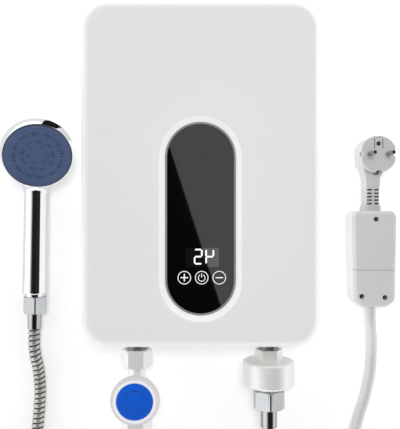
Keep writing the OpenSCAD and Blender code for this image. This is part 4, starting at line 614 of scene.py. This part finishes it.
def handset():
    """Chrome body: the head is a turned bowl with a rolled rim, the handle a slim turned bar, and the neck
    a row of ellipses across the handle. The neck's lower and upper edges rise from the handle's into the
    bowl, with a fillet."""
    head_sides, handle_sides, spigot_sides = 120, 96, 64
    bowl = smooth_profile([[POLE_R, -30], [4.6, -30], [11.9, -29.25], [21.8, -26.7], [29.8, -22.05],
                           [34.95, -16.2], [37.3, -12], [HEAD_R, -8.9], [37.5, -5.4], [36.4, -2.3],
                           [35.75, -0.8], [35.55, -0.45]], 6)
    rim = np.array([[35.4, -0.3], [35.2, -0.3], [35.06, -0.6], [35.03, -FACE_T], [POLE_R, -FACE_T]])
    head = revolve_grid(np.vstack([bowl, rim]), head_sides, on_head)
    bar = smooth_profile([[12.5, 0.05], [13.2, 0.45], [13.62, 1.3], [13.7, 2.6], [13.66, 8], [13.4, 56],
                          [13.14, 104], [12.9, 118]], 8)
    handle = revolve_grid(np.vstack([[[POLE_R, 0]], [[11.4, 0]], bar]), handle_sides, along_handle)
    # Along the neck: below the fillet, through it, and on into the bowl
    stretches = [np.linspace(100, 109, 8), np.linspace(109.4, 117, 24), np.linspace(118, 156, 28)]
    run = np.concatenate(stretches)[:, None]
    neck_r = 13.1
    low = -neck_r + 21.1 * eased((run - 106) / 50)
    high = neck_r + 4 * np.clip((run - 110.5) / 5.5, 0, 1) ** 2 + 5 * eased((run - 119) / 30)
    wide = neck_r + 10 * eased((run - 106) / 40)
    a = np.linspace(0, 2 * np.pi, handle_sides, endpoint=False)[None, :]
    upward = (high + low) / 2 - (high - low) / 2 * np.sin(a)
    neck = on_handset(np.stack(np.broadcast_arrays(wide * np.cos(a), run, upward), axis=-1))
    thread = [[POLE_R, -14], [10.0, -14], [10.45, -13.4], [10.45, 0.5]]
    spigot = revolve_grid(thread, spigot_sides, along_handle)
    parts = [(grid, *TUBE) for grid in (head, handle, neck, spigot)]
    obj = build("handset_shell", parts, HEATER, CHROME)
    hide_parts("handset_body")


def spray_dish():
    """Blue face on a polar grid, with a groove inside its edge. The height is a shallow dish plus oval nubs
    in rings, each nub exp(-(u / a)^6 - (v / b)^6) in its own radial and sideways distances u and v."""
    sides, first_turn, nub_h = 540, 8, 1.3
    dish, groove_r, groove_w, groove_depth = 0.5, 31.2, 0.5, 0.35
    r = np.concatenate([np.linspace(POLE_R, 32.4, 150), np.linspace(32.7, 34.0, 8)])
    a = np.linspace(0, 2 * np.pi, sides, endpoint=False)
    rr, aa = np.meshgrid(r, a, indexing="ij")
    x, y = rr * np.cos(aa), rr * np.sin(aa)
    groove = groove_depth * np.exp(-((rr - groove_r) / groove_w) ** 2)
    z = -dish * (1 - (rr / FACE_R) ** 2) - groove
    # Rings of nubs: radius, number of groups, sideways places in a group, radial and sideways half sizes
    rings = [(24.6, 12, (-3.3, 0, 3.3), 2.0, 1.15),
             (15.8, 9, (-1.9, 1.9), 1.5, 1.1),
             (8.9, 6, (0,), 1.3, 1.9)]
    for ring_r, count, aside, half_r, half_v in rings:
        turns = np.radians(np.arange(count) * 360 / count + first_turn)
        for turn in turns:
            for off in aside:
                u = x * np.cos(turn) + y * np.sin(turn) - ring_r + 0.04 * off * off
                v = -x * np.sin(turn) + y * np.cos(turn) - off
                z = z + nub_h * np.exp(-((u / half_r) ** 6) - (v / half_v) ** 6)
    top = np.stack([x, y, z], axis=-1)
    back = -FACE_T + 0.02
    side = revolve_grid([[34.5, -0.25], [34.85, -0.6], [34.98, -1.2], [34.98, back], [POLE_R, back]],
                        sides, lambda p: p)
    grid = on_head(np.concatenate([top, side]))
    obj = build("spray_dish", [(grid, *FLIPPED_TUBE)], HEATER, FACE_BLUE)
    second_finish(obj, np.arange((len(r) - 3) * sides, (len(grid) - 1) * sides), NOZZLE_BLUE)
    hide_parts("spray_face", "spray_nozzles")


handset()
spray_dish()


# Nuts

def below_port(x, t):
    """Function that puts points, with h running down from t under the casing, on a port's axis."""
    return lambda p: np.stack([x + p[..., 0], BOTTOM_Y - t - p[..., 2], FITTING_Z + p[..., 1]], axis=-1)


def nut(node, af, length, first_flat, bores, place, material):
    """Hexagon nut along h with cut corners and coned ends. Its radius at the angle a is the least of the
    flats' (af / 2) / cos a, the corners' and the cones'. The bores are the first one's radius, its depth
    and the second one's radius, and they meet at a shoulder inside."""
    sides, corner_cut, cone_share, cone_angle = 360, 0.35, 0.475, 30
    a = np.linspace(0, 2 * np.pi, sides, endpoint=False)
    fold = (a - np.radians(first_flat) + np.pi / 6) % (np.pi / 3) - np.pi / 6
    ends = np.array([0, 0.12, 0.3, 0.55, 0.85, 1.2, 1.6])
    h = np.concatenate([ends, length - ends[::-1]])[:, None]
    cone = cone_share * af + np.minimum(h, length - h) / np.tan(np.radians(cone_angle))
    radius = np.minimum(np.minimum(af / 2 / np.cos(fold), af / 3 ** 0.5 - corner_cut), cone)
    low_r, shoulder, high_r = bores
    inside = np.array([[high_r, length], [high_r, shoulder], [low_r, shoulder], [low_r, 0.0]])
    radius = np.vstack([radius, np.broadcast_to(inside[:, :1], (len(inside), sides))])
    h = np.vstack([h, inside[:, 1:]])
    points = np.stack(np.broadcast_arrays(radius * np.cos(a), radius * np.sin(a), h), axis=-1)
    obj = build(node + "_form", [(place(points), *RING)], HEATER, material, smooth=20)
    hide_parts(node)


def below_handle(points):
    """From the handset nut's own frame, which starts below the handle's end, to the frame of the CAD."""
    start = -21.2
    return along_handle(points + np.array([0.0, 0.0, start]))


nut("handset_hose_nut", af=23.6, length=18.5, first_flat=0, bores=(7.5, 4.35, 10.5),
    place=below_handle, material=SATIN_STEEL)
nut("outlet_hose_nut", af=31.0, length=20.0, first_flat=0, bores=(10.5, 14.6, 8.8),
    place=below_port(OUTLET_X, 49.5), material=SATIN_STEEL)
nut("valve_union_nut", af=29.0, length=19.0, first_flat=30, bores=(10.5, 13.0, 8.9),
    place=below_port(INLET_X, 7.0), material=FITTING_WHITE)


# Valve knob

def at_knob(points):
    """From the knob's own frame to the frame of the CAD."""
    return points + np.array([INLET_X, VALVE_Y, KNOB_Z])


def knob():
    """Turned ring with a rolled outer edge and a raised inner lip. The disc lies inside the lip."""
    sides, lip_r, wall_r, floor_z = 96, 22.0, 18.65, 4.8
    outside = smooth_profile([[22.5, 0.0], [24.6, 0.4], [KNOB_R, 2.4], [25.1, 4.6], [23.6, 6.2],
                              [21.6, 7.5], [20.2, 8.15], [19.3, 8.1], [18.8, 7.5]], 6)
    inside = np.array([[wall_r, 6.6], [wall_r, floor_z], [POLE_R, floor_z]])
    grid = revolve_grid(np.vstack([[[POLE_R, 0.0]], outside, inside]), sides, at_knob)
    obj = build("knob_ring", [(grid, *TUBE)], KNOB, KNOB_GREY)
    lip_first = 1 + int(np.argmax(outside[:, 0] < lip_r))
    second_finish(obj, np.arange(lip_first * sides, (len(grid) - 1) * sides), KNOB_WHITE)
    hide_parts("valve_knob")


def knob_disc():
    """Blue disc on a polar grid. Its top is slightly domed, with two raised arcs around the middle, whose
    darker blue is painted shade.
    """
    sides, flat_r, edge_r, top_z, dome, back = 240, 17.6, 1.0, 8.4, 0.25, 4.82
    # Arcs: radius, slope's width, height, the angle where the first starts and half the angle of each
    arc_r, arc_w, arc_h, arc_start, arc_half = 11.5, 1.1, 0.35, 20, 70
    bend = np.radians(np.linspace(10, 90, 8))
    r = np.concatenate([np.linspace(POLE_R, flat_r, 60), flat_r + edge_r * np.sin(bend)])
    a = np.linspace(0, 2 * np.pi, sides, endpoint=False)
    rr, aa = np.meshgrid(r, a, indexing="ij")
    along = np.minimum(np.abs((np.degrees(aa) - arc_start) % 180 - arc_half) / arc_half, 1.0)
    band = np.clip(1.4 - np.abs(rr - arc_r) / arc_w, 0, 1) * np.clip((1 - along) * 14, 0, 1)
    fall = np.where(rr > flat_r, edge_r - np.sqrt(np.maximum(0, edge_r ** 2 - (rr - flat_r) ** 2)), 0.0)
    z = top_z + dome * (1 - (rr / CAP_R) ** 2) - fall + arc_h * band
    top = np.stack([rr * np.cos(aa), rr * np.sin(aa), z], axis=-1)
    side = revolve_grid([[CAP_R, 7.35], [CAP_R, back], [POLE_R, back]], sides, lambda p: p)
    grid = at_knob(np.concatenate([top, side]))
    obj = build("knob_disc", [(grid, *FLIPPED_TUBE)], KNOB, CAP_BLUE)
    second_finish(obj, np.flatnonzero(face_sums(band) > 2.0), ARC_SHADE_BLUE)
    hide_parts("knob_cap")


knob()
knob_disc()


# Panel signs

def glow(name, colour, strength):
    """Lit sign: its own light over a plain base of the same colour."""
    material = finish(name, colour, colour, (0.4, 0.5), bump=0.0)
    shader = material.node_tree.nodes["Principled BSDF"]
    shader.inputs["Emission Color"].default_value = srgb(colour)
    shader.inputs["Emission Strength"].default_value = strength
    return material


# Height and thickness of the signs, just above the glass
SIGN_Z = PANEL_Z + 0.02
SIGN_T = 0.06


def slab(outline):
    """Thin closed slab of an outline on the glass."""
    return (np.stack([level(outline, SIGN_Z), level(outline, SIGN_Z + SIGN_T)]), *TUBE)


def ring_slab(x, y, r0, r1, a0=0.0, a1=360.0):
    """Flat ring, or an arc of one, between two radii."""
    whole = a1 - a0 >= 360
    a = np.radians(np.linspace(a0, a1, 64, endpoint=not whole))
    section = [(r0, SIGN_Z), (r1, SIGN_Z), (r1, SIGN_Z + SIGN_T), (r0, SIGN_Z + SIGN_T)]
    lines = [level(np.column_stack([x + r * np.cos(a), y + r * np.sin(a)]), z) for r, z in section]
    return np.stack(lines, axis=1), whole, True, not whole, not whole, True


def bar_slab(x, y, w, h):
    """Thin bar with rounded ends."""
    return slab(rect_outline(w, h, min(w, h) * 0.45, 5) + np.array([x, y]))


def segment_slab(x, y, length, across, upright):
    """One stroke of a digit: a bar with pointed ends."""
    half, k = length / 2, across / 2
    tip = half - k
    outline = np.array([[-half, 0], [-tip, -k], [tip, -k], [half, 0], [tip, k], [-tip, k]])
    if upright:
        outline = outline[:, ::-1] * np.array([-1, 1])
    return slab(outline + np.array([x, y]))


def digit(x, y, w, h, lit):
    """Seven-stroke digit: a to f from the top clockwise, as usual, and g in the middle."""
    across, gap = 1.45, 0.5
    spots = {
        "a": (0, h / 2, w, False), "g": (0, 0, w, False), "d": (0, -h / 2, w, False),
        "b": (w / 2, h / 4, h / 2, True), "c": (w / 2, -h / 4, h / 2, True),
        "f": (-w / 2, h / 4, h / 2, True), "e": (-w / 2, -h / 4, h / 2, True),
    }
    strokes = [spots[k] for k in lit]
    return [segment_slab(x + u, y + v, length - gap, across, upright) for u, v, length, upright in strokes]


def panel_signs():
    """Lit digits, the display window behind them and three touch signs in rings."""
    white = glow("sign_white", (235, 238, 240), 0.85)
    grey = glow("sign_grey", (205, 206, 208), 0.62)
    digits_y, digit_w, digit_h = -83.0, 7.2, 14.2
    window_w, window_h, window_r, window_x, window_y = 33.4, 19.2, 0.6, 1.7, digits_y - 0.9
    strokes = digit(-2.3, digits_y, digit_w, digit_h, "abged")
    strokes += digit(9.3, digits_y, digit_w, digit_h, "fgbe")
    pane = rect_outline(window_w, window_h, window_r, 4, window_y) + np.array([window_x, 0.0])
    pane = np.stack([level(pane, PANEL_Z + 0.003), level(pane, PANEL_Z + 0.014)])
    obj = build("display_window", [(pane, *TUBE)], HEATER, WINDOW_BLACK, smooth=20)
    obj = build("display_digits", strokes, HEATER, white, smooth=20)
    plus_x, power_x, minus_x, touch_y = -16.2, 1.2, 18.8, -104.1
    bar_l, bar_w, ring_in, ring_out = 7.7, 1.15, 5.95, 6.75
    marks = [ring_slab(x, touch_y, ring_in, ring_out) for x in (plus_x, power_x, minus_x)]
    marks.append(bar_slab(plus_x, touch_y, bar_l, bar_w))
    marks.append(bar_slab(plus_x, touch_y, bar_w, bar_l))
    marks.append(bar_slab(minus_x, touch_y, bar_l, bar_w))
    marks.append(ring_slab(power_x, -104.3, 3.0, 3.75, 120, 420))
    marks.append(bar_slab(power_x, -101.9, 0.85, 4.2))
    obj = build("touch_signs", marks, HEATER, grey, smooth=20)


panel_signs()


# Floor and light

# Strengths of the sky and of the mirrored sky, their axes, and stops of (cosine to the axis, brightness)
SKY, SKY_AXIS = 1.4, (0.0, 0.0, 1.0)
SKY_STOPS = [(0.0, 1.0), (1.0, 0.2)]
MIRROR, MIRROR_AXIS = 1.5, (0.27, 0.0, 0.963)
MIRROR_STOPS = [(0.375, 1.0), (0.515, 0.84), (0.643, 0.66), (0.745, 0.28), (0.79, 0.1), (0.835, 0.015)]
# The floor's glow by kind of ray, its half size and its height
FLOOR_GLOW = (("Is Camera Ray", 0.27), ("Is Diffuse Ray", 0.57), ("Is Glossy Ray", 0.1))
FLOOR_HALF, FLOOR_Z = 6000.0, -0.5


def emitter(name, strength):
    """Material that only glows."""
    material = bpy.data.materials.new(name)
    material.use_nodes = True
    tree = material.node_tree
    tree.nodes.remove(tree.nodes["Principled BSDF"])
    lit = tree.nodes.new("ShaderNodeEmission")
    lit.inputs["Strength"].default_value = strength
    tree.links.new(lit.outputs[0], tree.nodes["Material Output"].inputs["Surface"])
    return material


def stage_sheet(name, corners, material):
    """Flat sheet of the stage through the given corners."""
    mesh = bpy.data.meshes.new(name)
    mesh.from_pydata((np.array(corners) * MM).tolist(), [], [tuple(range(len(corners)))])
    mesh.materials.append(material)
    obj = bpy.data.objects.new(name, mesh)
    bpy.context.collection.objects.link(obj)
    return obj


def mirror_card(name, corners, strength):
    """Studio card, white or black, that shows only in shiny surfaces."""
    obj = stage_sheet(name, corners, emitter(name, strength))
    obj.visible_camera = False
    obj.visible_diffuse = False
    obj.visible_shadow = False


def floor():
    """Pale floor. For the camera it glows enough to read white and to keep the deeper shadow, matt surfaces
    get light back from it, and shiny ones mirror it nearly plain."""
    material = emitter("floor_white", 1.0)
    tree = material.node_tree
    lit = tree.nodes["Emission"]
    matt = tree.nodes.new("ShaderNodeBsdfDiffuse")
    matt.inputs["Color"].default_value = (0.86, 0.86, 0.86, 1)
    ray = tree.nodes.new("ShaderNodeLightPath")
    total = None
    for kind, share in FLOOR_GLOW:
        part = tree.nodes.new("ShaderNodeMath")
        part.operation = "MULTIPLY_ADD"
        tree.links.new(ray.outputs[kind], part.inputs[0])
        part.inputs[1].default_value = share
        part.inputs[2].default_value = 0.0
        if total is not None:
            tree.links.new(total.outputs[0], part.inputs[2])
        total = part
    tree.links.new(total.outputs[0], lit.inputs["Strength"])
    both = tree.nodes.new("ShaderNodeAddShader")
    tree.links.new(matt.outputs[0], both.inputs[0])
    tree.links.new(lit.outputs[0], both.inputs[1])
    tree.links.new(both.outputs[0], tree.nodes["Material Output"].inputs["Surface"])
    corners = [(-1, -1), (1, -1), (1, 1), (-1, 1)]
    stage_sheet("floor", [(x * FLOOR_HALF, y * FLOOR_HALF, FLOOR_Z) for x, y in corners], material)


def background(tree, stops, axis, strength):
    """World light that depends on the cosine to an axis, by stops of (cosine, brightness)."""
    where = tree.nodes.new("ShaderNodeTexCoord")
    cosine = tree.nodes.new("ShaderNodeVectorMath")
    cosine.operation = "DOT_PRODUCT"
    cosine.inputs[1].default_value = axis
    tree.links.new(where.outputs["Generated"], cosine.inputs[0])
    ramp = tree.nodes.new("ShaderNodeValToRGB")
    elements = ramp.color_ramp.elements
    for element, (spot, value) in zip(elements, (stops[0], stops[-1])):
        element.position = spot
        element.color = (value, value, value, 1)
    for spot, value in stops[1:-1]:
        elements.new(spot).color = (value, value, value, 1)
    tree.links.new(cosine.outputs["Value"], ramp.inputs["Fac"])
    lit = tree.nodes.new("ShaderNodeBackground")
    lit.inputs["Strength"].default_value = strength
    tree.links.new(ramp.outputs["Color"], lit.inputs["Color"])
    return lit


def soft_lamp(name, spot, aim, size, watts):
    """Rectangular lamp turned to a point, left out of mirrors. Its place and size are in metres."""
    lamp = bpy.data.lights.new(name, "AREA")
    lamp.shape = "RECTANGLE"
    lamp.size, lamp.size_y = size
    lamp.energy = watts
    obj = bpy.data.objects.new(name, lamp)
    obj.location = spot
    obj.rotation_euler = (Vector(aim) - Vector(spot)).to_track_quat("-Z", "Y").to_euler()
    obj.visible_glossy = False
    obj.visible_camera = False
    bpy.context.collection.objects.link(obj)


def studio():
    """Bright walls around and a darker ceiling. Shiny surfaces mirror a ceiling that is nearly black about
    its middle. A soft lamp stands over the top, and a lit card fills the gap beside the breaker. One white
    card slants across the glass and one stands beside the handset, and black flags keep dark streaks in
    the handset's chrome."""
    world = bpy.data.worlds.new("studio")
    bpy.context.scene.world = world
    world.use_nodes = True
    tree = world.node_tree
    plain = tree.nodes["Background"]
    plain.inputs["Color"].default_value = (1, 1, 1, 1)
    sky = background(tree, SKY_STOPS, SKY_AXIS, SKY)
    mirrored = background(tree, MIRROR_STOPS, MIRROR_AXIS, MIRROR)
    ray = tree.nodes.new("ShaderNodeLightPath")
    shine = tree.nodes.new("ShaderNodeMixShader")
    tree.links.new(ray.outputs["Is Glossy Ray"], shine.inputs["Fac"])
    tree.links.new(sky.outputs[0], shine.inputs[1])
    tree.links.new(mirrored.outputs[0], shine.inputs[2])
    seen = tree.nodes.new("ShaderNodeMixShader")
    tree.links.new(ray.outputs["Is Camera Ray"], seen.inputs["Fac"])
    tree.links.new(shine.outputs[0], seen.inputs[1])
    tree.links.new(plain.outputs[0], seen.inputs[2])
    tree.links.new(seen.outputs[0], tree.nodes["World Output"].inputs["Surface"])
    soft_lamp("top_lamp", spot=(0.1, 0.42, 1.95), aim=(0.0, 0.0, 0.0), size=(0.5, 0.5), watts=12.0)
    soft_lamp("side_card", spot=(0.131, -0.05, 0.032), aim=(0.3, -0.05, 0.02), size=(0.3, 0.05), watts=0.04)
    high, black = 1300, 0.012
    mirror_card("glass_card", [(-137, 300, high), (95, -420, high), (180, -420, high), (180, 300, high)],
                strength=1.41)
    mirror_card("handle_flag", [(-215, -300, 300), (-75, -300, 300), (-75, 160, 300), (-215, 160, 300)],
                strength=black)
    mirror_card("handle_card", [(-128, -300, 4), (-128, 40, 4), (-128, 40, 60), (-128, -300, 60)],
                strength=1.1)
    mirror_card("rim_flag", [(-154, 86, 8), (-127, 72.5, 8), (-127, 72.5, 85), (-154, 86, 85)],
                strength=black)


floor()
studio()

bpy.context.scene.view_settings.view_transform = "Standard"
